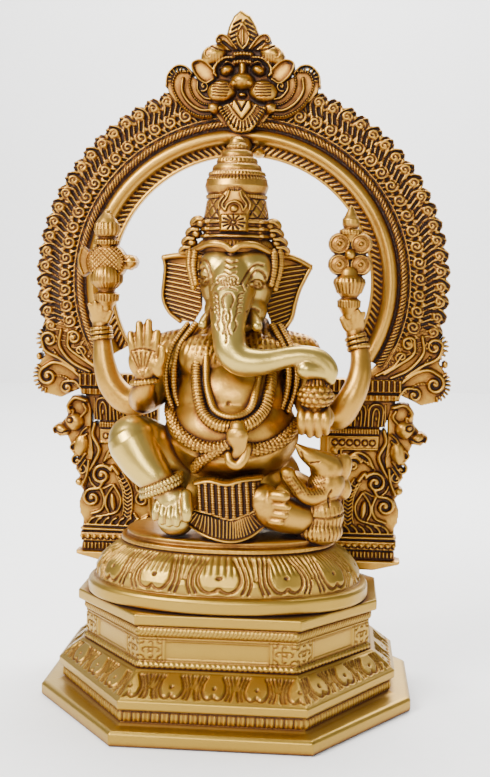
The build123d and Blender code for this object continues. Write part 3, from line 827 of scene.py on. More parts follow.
# ---------------------------------------------------------------- the lotus seat
@dataclass
class Seat:
    """Oval lotus seat, petals carved on its dome, and the plinth on it."""

    centre_y: float = -15.0

    def _oval(self, name: str, profile: Sequence[tuple[float, float, float, int]],
              relief: Relief, step: float = 0.6) -> bpy.types.Object:
        """Sweep (half width, half depth, height, rows) round an oval; relief reads (angle, z)."""
        count = int(2 * math.pi * 60 / step)
        angle = np.linspace(0, 2 * math.pi, count, endpoint=False)
        across, deep, level = [], [], []
        for (a, b, z, rows), (c, d, w, _) in zip(profile, list(profile[1:]) + [profile[0]]):
            for t in np.arange(rows) / rows:
                across.append(a + (c - a) * t)
                deep.append(b + (d - b) * t)
                level.append(z + (w - z) * t)
        power = 0.93
        cos, sin = np.cos(angle), np.sin(angle)
        x = np.array(across)[:, None] * np.sign(cos) * np.abs(cos) ** power
        y = self.centre_y + np.array(deep)[:, None] * np.sign(sin) * np.abs(sin) ** power
        z = np.repeat(np.array(level)[:, None], count, 1)
        points = np.stack([x, y, z], -1)
        normal = -grid_normals(points, True, True)
        points = points + normal * relief(np.repeat(angle[None], len(z), 0), z)[..., None]
        piece = mesh_object(name, points.reshape(-1, 3),
                            grid_quads(*z.shape, wrap_rows=True, wrap_columns=True))
        outwards(piece)
        return piece

    @staticmethod
    def _petals(angle: Array, z: Array) -> Array:
        """Petals with double tips and fine veins between them."""
        turn = (angle + math.pi / 2) / (2 * math.pi)
        petals = 13
        u = np.abs((turn * petals + 0.5) % 1.0 - 0.5)
        v = np.clip((z - 58.9) / 16.3, 0, 1)
        active = (z > 58.9) & (z < 76.0) & (v > 0.0)
        lift = np.zeros_like(z)
        pitch = 25.0 * (1 - 0.10 * v)
        cut = petal_cut(u[active] * pitch[active], v[active] * 18.5, 24.0, 18.5, 1.25)
        fine = np.abs(np.sin(math.pi * turn * petals * 11)) ** 0.5
        rays = (1 - fine) * np.clip((v - 0.50) * 5, 0, 1)
        swell = 0.5 * np.sqrt(np.clip(1 - (u / 0.30) ** 2, 0, 1)) * np.clip(1 - v * 0.9, 0, 1)
        lift[active] = swell[active] - np.maximum(1.15 * cut, 0.8 * rays[active])
        return lift * np.clip(v * 14, 0, 1) * np.clip((1 - v) * 14, 0.3, 1)

    @staticmethod
    def _plinth_relief(angle: Array, z: Array) -> Array:
        """A corded rim."""
        cord = np.abs(np.sin(angle * 95)) ** 0.5 * 0.35 - 0.2
        return np.where((z > 76.3) & (z < 78.2), cord, 0.0)

    def build(self) -> None:
        """Make the seat and the plinth."""
        seat = self._oval("lotus_seat_cast", [
            (62.0, 39.8, 52.2, 2), (65.2, 42.8, 51.5, 2), (66.0, 43.5, 52.3, 5), (66.0, 43.5, 57.0, 3),
            (65.2, 42.8, 58.0, 2), (63.6, 41.4, 58.6, 2), (62.3, 40.6, 58.9, 10), (62.0, 40.4, 63.5, 10),
            (59.6, 38.6, 68.0, 10), (55.5, 35.8, 72.0, 9), (50.2, 32.0, 75.2, 4), (48.4, 30.6, 76.2, 2),
            (20.0, 12.0, 76.2, 2), (20.0, 12.0, 70.0, 3), (56.0, 34.0, 62.0, 2), (58.0, 36.0, 53.0, 2)],
            self._petals, step=0.42)
        plinth = self._oval("seat_plinth_cast", [
            (46.0, 28.0, 75.6, 2), (49.6, 31.6, 75.8, 2), (50.4, 32.4, 76.6, 5), (50.2, 32.2, 78.0, 2),
            (48.2, 30.4, 78.5, 2), (47.6, 29.8, 79.1, 3), (47.8, 30.0, 80.6, 3), (46.8, 29.2, 81.3, 4),
            (15.0, 9.0, 81.6, 2), (15.0, 9.0, 78.0, 2)], self._plinth_relief, step=0.8)
        dress(seat, Finish.STAND, "lotus_seat")
        dress(plinth, Finish.ANTIQUE, "seat_plinth")


# ---------------------------------------------------------------- the arch
@dataclass
class Arch:
    """Arch behind the figure: rings, rope, scrolls and curls, on two carved pillars."""

    centre_z: float = 196.6
    flatten: float = 0.964
    front_y: float = 31.0
    back_y: float = 37.0
    opening: float = 65.4
    half_angle: float = 121.0
    step: float = 0.50

    def _polar(self, radius: Array, degrees: Array, height: Array) -> Array:
        """Points from a radius, an angle from straight up and a height before the plate."""
        angle = np.radians(degrees)
        return np.stack([radius * np.sin(angle), self.front_y - height,
                         self.centre_z + self.flatten * radius * np.cos(angle)], -1)

    def _band_relief(self, radius: Array, degrees: Array) -> Array:
        """Relief of the bands from the opening to the curls.

        Args:
            radius: Distance from the arch's centre.
            degrees: Angle from straight up.

        Returns:
            Height in millimetres.
        """
        height = np.full_like(radius, -1.2)
        arc = np.radians(np.abs(degrees))
        flange = (radius < 71.0)
        hatch = np.abs(np.sin(math.pi * (arc * 68 - 0.75 * (radius - 68)) / 3.0))
        inner = np.clip(1 - ((radius - 66.0) / 1.2) ** 2, 0, 1) ** 0.5
        height = np.where(flange, -2.6 + 1.5 * hatch ** 0.8 * (radius > 67.0) + 1.5 * inner, height)
        ring = np.sqrt(np.clip(1 - ((radius - 75.2) / 4.0) ** 2, 0, 1))
        height = np.where(np.abs(radius - 75.2) < 4.0, -1.8 + 6.0 * ring, height)
        rope = np.sqrt(np.clip(1 - ((radius - 81.6) / 2.4) ** 2, 0, 1))
        strand = 0.45 + 0.55 * np.abs(np.sin(math.pi * (arc * 81.6 + 0.9 * (radius - 81.6)) / 1.9)) ** 0.7
        height = np.where(np.abs(radius - 81.6) < 2.4, -0.6 + 3.1 * rope * strand, height)
        trough = (radius > 84.0) & (radius < 97)
        height = np.where(trough, -0.9, height)
        lip = bump_of(np.abs(radius - 84.9), 1.3)
        height = np.maximum(height, np.where(lip > 0, -0.6 + 1.6 * lip, -9))
        for shift, lean, thick in ((0.5, 1.0, 1.15), (0.16, 1.0, 1.0), (0.82, 1.0, 1.0)):
            cell = (np.round((np.abs(degrees) - 13.0) / 5.35 - shift) + shift) * 5.35 + 13.0
            sway = 2.3 * np.sin((radius - 85.0) / 18.5 * 2 * math.pi) + 0.10 * (radius - 94)
            dx = np.radians(np.abs(degrees) - cell) * radius - lean * sway
            stem = bump_of(np.abs(dx), 1.35 * thick) * (radius > 85.5)
            height = np.maximum(height, np.where(stem > 0, -0.7 + 2.1 * stem, -9))
        for pitch, middle, size, turns, stem_way, top in ((5.35, 89.6, 3.5, 1.35, 1, 2.9),
                                                          (4.55, 99.6, 2.9, 1.15, -1, 2.6)):
            cell = np.round((np.abs(degrees) - 13.0) / pitch) * pitch + 13.0
            dx = np.radians(np.abs(degrees) - cell) * radius
            dy = (radius - middle) * 0.98
            reach = np.hypot(dx, dy)
            angle = np.arctan2(dy, dx)
            width = size / (turns + 0.35)
            phase = (reach / width - stem_way * angle / (2 * math.pi)) % 1.0
            coil = np.abs(np.sin(math.pi * phase)) ** 0.75
            disc = reach < size
            dome = np.sqrt(np.clip(1 - (reach / (size * 1.25)) ** 2, 0, 1))
            lifted = -0.4 + top * (0.25 + 0.75 * dome) * (0.30 + 0.70 * coil)
            height = np.where(disc, np.maximum(height, lifted), height)
            between = np.abs(np.abs(dx) - math.radians(pitch) * middle / 2)
            leaf = bump_of(np.hypot(between, (dy + size * 0.65 * stem_way) * 0.45), 2.0)
            height = np.maximum(height, np.where(leaf > 0, -0.5 + 1.7 * leaf, -9))
            leaf = bump_of(np.hypot(between, (dy - size * 0.75 * stem_way) * 0.45), 1.7)
            height = np.maximum(height, np.where(leaf > 0, -0.5 + 1.5 * leaf, -9))
        return height

    def _rim(self, degrees: Array) -> Array:
        """Outer radius of the scalloped edge."""
        pitch = 4.55
        cell = np.round((np.abs(degrees) - 13.0) / pitch) * pitch + 13.0
        dx = np.radians(np.abs(degrees) - cell) * 99.2
        curl = 99.2 + np.sqrt(np.clip(4.6 ** 2 - dx ** 2, 0, None)) * 1.25
        return np.maximum(curl, 101.0)

    def _half(self, name: str, side: int) -> bpy.types.Object:
        """One half of the banded arch."""
        degrees = np.linspace(0.0, self.half_angle, int(math.radians(self.half_angle) * 86 / self.step))
        share = np.linspace(0, 1, int(40.0 / self.step))
        rim = self._rim(degrees)
        taper = np.clip((degrees - 106) / 14, 0, 1)
        rim = rim - taper * (rim - 86.5)
        radius = self.opening + (rim[:, None] - self.opening) * share[None]
        wide = np.repeat(degrees[:, None], len(share), 1)
        height = self._band_relief(radius, wide)
        edge = np.clip((1 - share) * (rim[:, None] - self.opening) / 0.9, 0, 1)
        height = height - 1.6 * (1 - np.sqrt(1 - (1 - edge) ** 2)) * (share > 0.5)
        front = self._polar(radius, side * wide, height)
        rear = self._polar(radius, side * wide, np.full_like(height, self.front_y - self.back_y))
        rows, columns = radius.shape
        half = rows * columns
        number = np.arange(half).reshape(rows, columns)
        loop = np.concatenate([number[:, 0], number[-1, 1:], number[-2::-1, -1], number[0, -2:0:-1]])
        walls = np.stack([loop, np.roll(loop, -1), np.roll(loop, -1) + half, loop + half], 1)
        quads = grid_quads(rows, columns)
        piece = mesh_object(name, np.vstack([front.reshape(-1, 3), rear.reshape(-1, 3)]),
                            np.vstack([quads, quads[:, ::-1] + half, walls]))
        outwards(piece)
        return piece

    def build(self) -> None:
        """Make the two halves of the arch."""
        for side in (-1, 1):
            dress(self._half(f"arch_{hand(side)}_half", side), Finish.ANTIQUE, "arch_frame")


# ---------------------------------------------------------------- pillars, plumes, beasts and mask
def field_of(low: tuple[float, float], high: tuple[float, float], step: float) -> Plaque:
    """An empty relief over a window."""
    step *= COARSE
    x, z = np.meshgrid(np.arange(low[0], high[0], step), np.arange(low[1], high[1], step), indexing="ij")
    return Plaque(x, z)


def mirrored(side: int, front_y: float) -> Callable[[Array, Array, Array], Array]:
    """Placing of a relief that is drawn for the deity's left, on either side."""
    def place(x: Array, z: Array, height: Array) -> Array:
        """Points of the relief."""
        return np.stack([side * x, front_y - height, z], -1)
    return place


@dataclass
class Pillars:
    """Carved pillars under the arch, with the rearing beasts and the leaf plumes on their outer sides."""

    front_y: float = 31.5
    back: float = -5.5
    step: float = 0.34

    @staticmethod
    def _scroll_field(art: Plaque) -> None:
        """The scroll panel between the foot mouldings and the framed block."""
        art.flat([(41.5, 71), (79, 71), (82, 76), (82.6, 82), (80.5, 88), (82.5, 91), (81, 95), (80, 112),
                  (72, 124), (41.5, 124)], 0.6)
        art.spiral(58.6, 105.8, 4.1, 2.3, 2.4, 1.35, start=20, hand=1,
                   stem=[(53, 101), (56, 108.5), (60, 110.5)])
        art.ridge([(54.5, 108.5), (60.5, 112), (66, 109.5), (68.6, 104.5)], 2.2, 2.2)
        for number in range(6):
            spot = 62.2 + number * 1.25
            art.ridge([(spot, 109.6 - number * 0.75), (spot + 1.3, 107.6 - number * 0.9)], 0.9, 2.3,
                      smooth=False)
        art.spiral(70.2, 96.6, 5.6, 2.6, 2.7, 1.45, start=150, hand=-1, stem=[(61.5, 97.5), (64.5, 101.2)])
        art.ridge([(65, 91.8), (70, 89.6), (75, 91.6), (77.2, 96)], 1.5, 1.9)
        art.spiral(75.2, 84.6, 4.9, 2.4, 2.6, 1.35, start=100, hand=-1, stem=[(69.5, 93), (71.5, 90)])
        art.ridge([(71.0, 90.5), (68.8, 84), (70.5, 78.5), (75.5, 76.3)], 2.0, 2.3)
        art.ridge([(63.8, 91.5), (60.2, 84.5), (62.0, 78.0), (67.0, 76.0), (73.0, 74.8)], 1.7, 2.3)
        art.ridge([(63.8, 91.5), (67.2, 86.5), (68.0, 81.0), (66.6, 77.6)], 1.7, 2.3)
        art.dome(64.4, 82.6, 1.7, 5.0, 2.0, 0.6, turn=-8)
        art.ridge([(59.5, 98.5), (54.9, 90), (54.2, 81), (55.2, 74.5)], 1.1, 2.0)
        art.ridge([(62.6, 96.5), (59.4, 89), (58.8, 80), (59.6, 75.5)], 1.1, 2.0)
        for number in range(11):
            z = 95.0 - number * 1.95
            x = 57.6 - 1.1 * math.sin((95 - z) / 21 * 2.2) + max(0.0, (z - 88) * 0.30)
            art.ridge([(x - 1.7, z + 0.8), (x, z - 0.5), (x + 1.7, z + 0.8)], 1.25, 2.0)
        art.ridge([(43.2, 108), (43.0, 96), (45.5, 84), (43.6, 73)], 1.5, 1.9)
        art.spiral(48.3, 98.6, 3.9, 1.9, 2.2, 1.3, start=200, hand=1, stem=[(46, 88), (44.2, 93)])
        art.spiral(49.0, 84.4, 3.7, 1.9, 2.2, 1.3, start=80, hand=-1, stem=[(52.6, 94), (51.8, 89.5)])
        art.ridge([(46.5, 75.5), (50.5, 73.6), (53.2, 76.8)], 1.9, 1.9)
        for number in range(9):
            x = 44.5 + number * 3.9
            art.ridge([(x - 1.6, 74.4), (x + 0.2, 73.2), (x + 1.5, 71.2)], 1.6, 2.5)
        art.ridge([(73.9, 123.2), (75.0, 117.5), (71.6, 110.5), (73.5, 104.5), (78.2, 96.5)], 2.6, 2.9)
        art.ridge([(77.2, 122.5), (78.6, 115.5), (75.2, 109.5)], 1.7, 2.4)

    @staticmethod
    def _mouldings(art: Plaque) -> None:
        """Foot mouldings, framed block, frieze and capital."""
        art.flat([(41.5, 52.0), (70, 51.6), (83.4, 55.0), (83.8, 57.2), (41.5, 57.2)], 4.0)
        art.flat([(41.5, 57.6), (81, 57.6), (80.6, 61.6), (41.5, 61.6)], 2.6)
        art.ribs((41.5, 57.9), (81.4, 61.4), 1.9, 1.3)
        art.flat([(41.5, 61.8), (81.2, 61.8), (81.6, 67.0), (41.5, 67.0)], 2.4)
        for x in np.arange(43.5, 80.5, 3.35):
            art.dome(x, 64.4, 1.25, 1.25, 1.0, 2.4)
            art.groove([(x - 1.2, 63.5), (x, 62.9), (x + 1.2, 63.5)], 0.7, 1.1)
        art.ridge([(41.5, 68.2), (80.6, 68.6)], 2.0, 3.5, smooth=False)
        art.ridge([(41.5, 70.4), (79.4, 70.6)], 1.5, 2.7, smooth=False)
        art.flat([(41.5, 110.6), (51.2, 110.6), (51.2, 112.6), (71.6, 112.6), (71.6, 121.0), (41.5, 121.0)],
                 1.7)
        art.ridge([(52.4, 106.5), (52.4, 113.6), (70.6, 113.9)], 1.3, 2.5, smooth=False)
        art.ridge([(45.4, 108.0), (45.4, 119.8), (71.0, 120.2)], 1.0, 2.3, smooth=False)
        for x in (49.2, 52.8, 56.6, 60.4, 64.3, 68.0):
            art.dome(x, 117.0, 1.5, 1.5, 0.9, 1.7)
            art.groove(oval(x, 117, 1.5, 1.5, 9, SHORT_TURN), 0.6, 0.9)
        art.dome(48.8, 113.2, 1.4, 1.4, 0.9, 1.7)
        art.flat([(41.5, 121.2), (72.0, 121.2), (72.0, 124.6), (41.5, 124.6)], 3.0)
        art.ribs((41.5, 121.4), (72.0, 124.4), 1.35, 1.0)
        art.flat([(41.5, 124.8), (74, 124.8), (79.5, 138.0), (41.5, 138.0)], 0.7)
        for x in np.arange(43.0, 78.0, 8.9):
            lean = 0.16 * (x - 41) / 10
            for reach, top in ((3.3, 136.4), (1.5, 134.2)):
                art.ridge([(x - reach - lean, 125.4), (x - reach, top - 2.0), (x, top + 0.3),
                           (x + reach, top - 2.0), (x + reach - lean, 125.4)], 1.15, 2.5)
            art.ridge([(x + 4.45, 125.2), (x + 4.6, 136.4)], 0.9, 1.9, smooth=False)
            art.dome(x, 129.4, 0.8, 1.7, 2.2)
        art.flat([(40.6, 138.2), (81.2, 138.2), (82.0, 142.0), (40.6, 142.0)], 4.0)
        art.ribs((40.6, 138.6), (82.0, 141.6), 3.1, 1.1)
        art.flat([(40.2, 142.4), (82.4, 142.4), (83.0, 149.6), (40.2, 149.6)], 4.6, soft=1.4)
        art.ribs((40.2, 143.2), (83.0, 148.8), 2.75, 1.7)

    def _pillar(self, side: int) -> bpy.types.Object:
        """One pillar."""
        art = field_of((40.0, 51.2), (84.2, 150.0), self.step)
        art.flat([(41.5, 52.4), (70, 52.2), (82.6, 55.6), (82.6, 57.2), (80.4, 58.0), (80.4, 71.0),
                  (80.2, 111.0),
                  (71.8, 121.0), (71.8, 124.6), (73.6, 125.0), (79.0, 137.6), (80.8, 138.4), (82.0, 143.0),
                  (82.4, 149.2), (41.5, 149.2)], 0.3)
        self._scroll_field(art)
        self._mouldings(art)
        return plaque_piece(f"pillar_{hand(side)}", art, mirrored(side, self.front_y), self.back)

    def _plume(self, side: int) -> bpy.types.Object:
        """Leaf plume where the arch stands on its pillar."""
        art = field_of((60.0, 134.6), (106.6, 176.0), self.step)
        art.flat([(62, 149.5), (84, 140), (92, 136.2), (100, 138.2), (104, 145), (104.6, 152), (100.5, 158),
                  (103, 164), (100, 172), (92, 176), (84, 174), (74, 162)], 0.8)
        art.spiral(98.2, 147.4, 4.9, 2.5, 3.0, 1.35, start=60, hand=-1,
                   stem=[(80, 146.5), (88, 152.5), (95, 154.5)])
        art.spiral(88.4, 141.8, 3.2, 2.0, 2.8, 1.2, start=70, hand=-1, stem=[(80, 140), (84, 144.8)])
        art.ridge([(83, 142.6), (89.5, 147.0), (94.4, 147.6)], 2.2, 2.4, beads=1.5)
        art.spiral(97.6, 166.0, 4.2, 2.3, 2.9, 1.3, start=10, hand=1,
                   stem=[(84, 151), (92, 156.5), (99.5, 160.5)])
        art.spiral(84.8, 167.2, 3.6, 2.2, 2.9, 1.3, start=40, hand=1,
                   stem=[(73, 152), (80.5, 157), (87.4, 162.5)])
        art.ridge([(69, 151), (77.5, 156), (82, 162)], 1.7, 2.7)
        art.ridge([(76.5, 150), (86, 155), (92.2, 163), (91.5, 171)], 2.2, 2.8)
        art.ridge([(79, 149.2), (89, 153.6), (95.4, 160.6)], 1.9, 2.6, beads=1.6)
        for number in range(9):
            turn = math.radians(-78 + number * 15)
            x, z = 98.4 + 5.6 * math.cos(turn), 147.2 + 6.6 * math.sin(turn)
            art.ridge([(x, z), (x + 2.0 * math.cos(turn), z + 2.0 * math.sin(turn))], 1.6, 2.1)
        for number in range(6):
            turn = math.radians(-62 + number * 22)
            x, z = 98.2 + 4.6 * math.cos(turn), 166.0 + 5.0 * math.sin(turn)
            art.ridge([(x, z), (x + 1.6 * math.cos(turn), z + 1.6 * math.sin(turn))], 1.6, 2.1)
        art.dome(103.2, 157.4, 1.7, 2.2, 2.2)
        return plaque_piece(f"plume_{hand(side)}", art, mirrored(side, self.front_y - 0.3), self.back)

    def _beast(self, side: int) -> bpy.types.Object:
        """Beast that rears on the pillar's outer side, snout outwards."""
        art = field_of((70.0, 88.0), (97.0, 138.4), 0.3)
        art.flat([(77, 137), (86, 137.4), (88.6, 133), (88.4, 127.4), (92, 123), (95.6, 121.2), (95.2, 118.2),
                  (92.2, 115.8), (88.4, 116.6), (85.8, 110.4), (83.2, 105.6), (84.2, 99.4), (82, 96),
                  (84, 92.6),
                  (82.2, 90.2), (78.4, 89.6), (76, 97), (74.2, 108), (75.4, 120), (75.5, 131)], 1.5)
        art.ridge([(78, 135.4), (83.6, 136.6), (87.4, 132.6), (86.2, 129.2)], 2.6, 4.6)
        art.spiral(85.6, 130.0, 2.6, 1.8, 3.6, 1.0, start=80, hand=-1)
        art.dome(84.2, 124.2, 5.2, 4.8, 4.4, 1.0, turn=-20)
        art.dome(90.6, 119.9, 4.4, 3.1, 3.8, 1.0, turn=22)
        art.ridge([(92.6, 122.6), (95.0, 120.6), (94.4, 118.2)], 1.6, 4.4)
        art.ridge([(87.2, 118.4), (90.8, 117.2), (93.6, 118.4)], 1.0, 4.0)
        art.groove([(87.4, 119.6), (90.8, 118.5), (93.8, 119.8)], 0.7, 1.5)
        art.dome(86.2, 125.2, 1.3, 1.1, 1.4, 4.4)
        art.groove(oval(86.2, 125.2, 1.7, 1.4, 10, SHORT_TURN), 0.6, 1.2)
        art.ridge([(80.6, 127.0), (78.0, 130.4), (79.4, 133.6)], 2.0, 3.8)
        for number in range(6):
            z = 121.5 - number * 3.4
            art.ridge([(77.4 + number * 0.2, z), (79.6, z - 1.6), (81.2, z - 4.2)], 1.5, 3.4)
        art.dome(81.0, 112.0, 4.0, 6.4, 3.0, 1.2, turn=12)
        art.spiral(83.0, 104.0, 3.0, 1.9, 3.2, 1.1, start=90, hand=-1, stem=[(80, 112), (84.8, 109)])
        art.ridge([(84.2, 113.8), (86.4, 111.0), (84.6, 108.4)], 1.8, 3.2)
        art.spiral(80.6, 99.4, 2.8, 1.7, 3.0, 1.0, start=120, hand=1)
        art.dome(81.8, 92.8, 2.4, 2.2, 2.6, 1.0)
        art.ridge([(76.8, 104), (77.6, 97.5), (80, 91.4)], 2.2, 3.2)
        return plaque_piece(f"beast_{hand(side)}", art, mirrored(side, self.front_y - 0.6), self.back + 0.5)

    def build(self) -> None:
        """Make both pillars with their plumes and beasts."""
        for side in (-1, 1):
            dress(self._pillar(side), Finish.ANTIQUE, "arch_frame")
            dress(self._plume(side), Finish.ANTIQUE, "arch_frame")
            dress(self._beast(side), Finish.ANTIQUE, f"{hand(side)}_beast")


@dataclass
class Mask:
    """Lion-face mask on the arch's top, its crest leaf, and the beaded plumes at its sides."""

    front_y: float = 30.0

    def _face(self) -> bpy.types.Object:
        """The mask."""
        art = field_of((-27.5, 266.0), (27.5, 330.6), 0.3)
        backing = [(0, 316), (-8, 314), (-19, 309), (-20, 300), (-17, 292), (-15, 281), (-9, 273), (9, 273),
                   (15, 281), (17, 292), (20, 300), (19, 309), (8, 314)]
        art.flat(backing, 1.0)
        art.flat([(-1.4, 330), (-5.2, 326.8), (-7.7, 321.5), (-8.6, 317.4), (-5.4, 312.6), (0, 308.4),
                  (5.4, 312.6), (8.2, 317.6), (6.7, 322.0), (3.8, 326.8)], 4.2, soft=2.4)
        art.ridge([(-0.4, 322.6), (-3.0, 317.6), (-2.2, 313.4), (0, 310.4)], 1.2, 1.5, 3.8)
        art.ridge([(-0.4, 322.6), (2.8, 317.6), (2.2, 313.4), (0, 310.4)], 1.2, 1.5, 3.8)
        art.ridge([(-0.2, 319.4), (0, 312.4)], 1.0, 1.5, 3.8)
        for side in (-1, 1):
            for number in range(5):
                z = 324.6 - number * 2.5
                art.groove([(side * (1.2 + 0.6 * number), z - 0.6), (side * (4.4 + 0.9 * number), z - 2.4)],
                           0.95, 1.3)
            art.flat([(side * 3.0, 310.0), (side * 8.4, 317.8), (side * 12.6, 317.6), (side * 13.8, 314.2),
                      (side * 8.0, 309.6)], 3.0)
            art.ridge([(side * 3.0, 310.4), (side * 8.0, 316.6), (side * 12.0, 317.2), (side * 13.2, 314.4)],
                      1.5, 4.6)
            art.spiral(side * 11.8, 314.8, 2.0, 1.4, 4.6, 0.9, start=90, hand=-side)
            art.groove([(side * 5.4, 310.6), (side * 9.8, 314.0)], 1.5, 1.8)
            art.dome(side * 14.6, 307.9, 6.6, 5.0, 5.6, 1.8, turn=side * -24)
            art.spiral(side * 16.2, 307.6, 3.0, 1.4, 1.9, 1.0, start=90, hand=-side, base=5.4)
            art.groove([(side * 8.6, 309.6), (side * 12.4, 310.0), (side * 15.6, 311.4)], 0.9, 1.2)
            art.ridge([(side * 4.6, 306.4), (side * 9.4, 306.0), (side * 13.4, 302.6), (side * 14.0, 298.6)],
                      2.4, 5.4)
            art.ribs((min(side * 4.2, side * 15), 298.0), (max(side * 4.2, side * 15), 307.4), 1.5, 0.45)
            art.ridge([(side * 4.2, 302.6), (side * 7.8, 304.2), (side * 11.2, 301.0)], 1.3, 5.6)
            art.dome(side * 7.7, 300.3, 3.5, 2.5, 5.8, 1.6, turn=side * -18)
            art.groove([(side * (7.7 + 3.6 * math.cos(t)), 300.7 + 2.8 * math.sin(t))
                        for t in np.linspace(0, 3.14, 8)],
                       0.9, 2.2)
            ear = [(13.0, 297.6), (15.4, 301.6), (20.4, 305.2), (25.0, 303.6), (23.2, 298.2), (18.6, 294.0),
                   (14.6, 294.6)]
            art.flat([(side * x, z) for x, z in ear], 2.6)
            art.ridge([(side * x, z) for x, z in ear[:5] + [(18.4, 294.2), (14.4, 296.0)]], 1.7, 5.0)
            art.dome(side * 10.4, 290.2, 7.4, 5.6, 6.2, 1.6, turn=side * -8)
            for number in range(5):
                z = 293.2 - number * 1.45
                art.groove([(side * (6.4 + abs(number - 2) * 0.6), z + 0.2), (side * 10, z),
                            (side * 14.2, z + 0.5)],
                           0.75, 1.0)
            art.dome(side * 14.0, 282.3, 3.6, 3.0, 4.2, 1.2)
        for z in (308.2, 304.4):
            art.ridge([(-3.8, z - 0.4), (0, z), (3.8, z - 0.4)], 3.4, 6.0)
        art.ribs((-4.4, 302.6), (4.6, 310.0), 1.55, 0.8)
        art.dome(0, 295.0, 6.0, 4.4, 8.2, 1.4)
        art.dome(-3.7, 293.6, 2.8, 2.4, 7.8, 1.4)
        art.dome(3.7, 293.6, 2.8, 2.4, 7.8, 1.4)
        art.ridge([(0, 302.5), (0, 296)], 4.6, 7.0)
        art.flat([(-4.2, 290.4), (4.2, 290.4), (3.6, 285.4), (-3.6, 285.4)], 1.2)
        art.dome(0, 288.6, 2.2, 1.5, 3.6, 1.0)
        beard = [(-10.3, 281.8), (-4.4, 286.0), (4.4, 286.0), (10.3, 281.8), (7.0, 276.6), (3.0, 272.2),
                 (-3.0, 272.2), (-7.0, 276.6)]
        art.flat(beard, 4.6)
        art.flat([(-4.4, 285.8), (4.4, 285.8), (5.2, 282.0), (0.2, 275.6), (-5.2, 282.0)], 7.6)
        art.groove([(-2.6, 285.4), (0.1, 280.4), (2.8, 285.4)], 0.9, 1.5, smooth=False)
        return plaque_piece("kirtimukha", art, mirrored(1, self.front_y), -5.0)

    def _beard(self) -> bpy.types.Object:
        """Ribbed beard that hangs over the round ring."""
        art = field_of((-12.5, 268.0), (12.5, 285.0), 0.26)
        outline = [(-11.2, 281.8), (-6.4, 284.6), (0.2, 276.6), (6.6, 284.6), (11.4, 281.8), (4.0, 270.6),
                   (-3.4, 270.6)]
        art.flat(outline, 2.4)
        art.ridge([(-10.6, 281.8), (-7.2, 276.4), (-3.0, 271.6), (3.2, 271.6), (7.4, 276.4), (10.8, 281.8)],
                  3.0, 3.2)
        middle = curve_through([(-9.4, 281.6), (-6.2, 277.0), (0.2, 272.8), (6.4, 277.0), (9.6, 281.6)], 17)
        for spot in middle:
            way = spot - np.array((0.2, 286.0))
            way = way / max(np.linalg.norm(way), 1e-6)
            art.groove([tuple(spot - way * 2.4), tuple(spot + way * 1.9)], 0.8, 1.6)
        return plaque_piece("kirtimukha_beard", art, mirrored(1, self.front_y - 3.0), -3.5)

    def _plume(self, side: int) -> bpy.types.Object:
        """S-shaped plume beside the mask."""
        art = field_of((13.0, 262.0), (48.6, 300.4), 0.3)
        art.flat([(15, 283), (24, 289), (33, 294), (42, 294.4), (46.5, 289.4), (46, 282), (41.8, 277),
                  (33, 271.4), (24, 266.6), (15, 266.2)], 1.2)
        art.ridge([(15.5, 267.0), (24, 267.2), (33, 271.4), (39.6, 278.6), (42.4, 286.4), (39.0, 293.2),
                   (31.8, 294.0)],
                  3.2, 3.2, beads=1.75)
        art.ridge([(15.4, 270.6), (23, 270.8), (30.8, 275.2), (35.6, 282.2), (35.2, 289.4)], 2.5, 4.0)
        art.ridge([(15.6, 274.0), (21.6, 274.6), (27.8, 279.0), (30.6, 285.6), (29.8, 291.8)], 2.3, 3.4,
                  beads=1.5)
        art.ridge([(15.8, 277.2), (20.6, 278.4), (24.8, 282.8), (25.0, 287.6)], 1.9, 3.4)
        art.spiral(20.6, 285.0, 3.2, 1.7, 3.6, 1.2, start=-60, hand=-1)
        art.ridge([(29.0, 292.8), (33.8, 297.2), (40.2, 297.4), (45.8, 292.4), (47.0, 285.4)], 2.0, 2.6)
        for number in range(7):
            turn = math.radians(118 - number * 21)
            x, z = 37.6 + 7.6 * math.cos(turn), 289.2 + 6.8 * math.sin(turn)
            art.ridge([(x - 1.6 * math.cos(turn), z - 1.6 * math.sin(turn)), (x, z)], 1.5, 2.7)
        place = mirrored(side, self.front_y - 0.6)
        return plaque_piece(f"crest_plume_{hand(side)}", art,
                            lambda x, z, h: place(15 + (x - 15) * 0.72, 277.5 + (z - 266) * 0.80, h), -6.4)

    def build(self) -> None:
        """Make the mask and its plumes."""
        face = join("kirtimukha", [self._face(), self._beard()])
        dress(face, Finish.ANTIQUE, "kirtimukha_mask")
        for side in (-1, 1):
            dress(self._plume(side), Finish.ANTIQUE, "kirtimukha_mask")


# ---------------------------------------------------------------- the figure
def engrave(piece: bpy.types.Object, routes: Sequence[Sequence[Sequence[float]]], width: float, depth: float,
            facing: float = -0.15, front: float = 0.0) -> None:
    """Cut lines that are drawn from the front into a body.

    Args:
        piece: The body.
        routes: Lines of (x, z) points.
        width: Width of the cut.
        depth: Its depth.
        facing: Only faces whose normal's y is below this are cut.
        front: Only points with y below this are cut.
    """
    lines = [curve_through(route, 7 * len(route)) for route in routes]

    def cut(points: Array, normals: Array) -> Array:
        """Depth at each point."""
        sunk = np.zeros(len(points))
        seen = (normals[:, 1] < facing) & (points[:, 1] < front)
        for line in lines:
            low, high = line.min(0) - width, line.max(0) + width
            near = seen & (points[:, 0] > low[0]) & (points[:, 0] < high[0]) & (points[:, 2] > low[1]) & (
                points[:, 2] < high[1])
            if near.any():
                gap = line_distance(points[near, 0], points[near, 2], line)
                sunk[near] = np.minimum(sunk[near], -depth * bump_of(gap, width))
        return sunk
    carve(piece, cut)


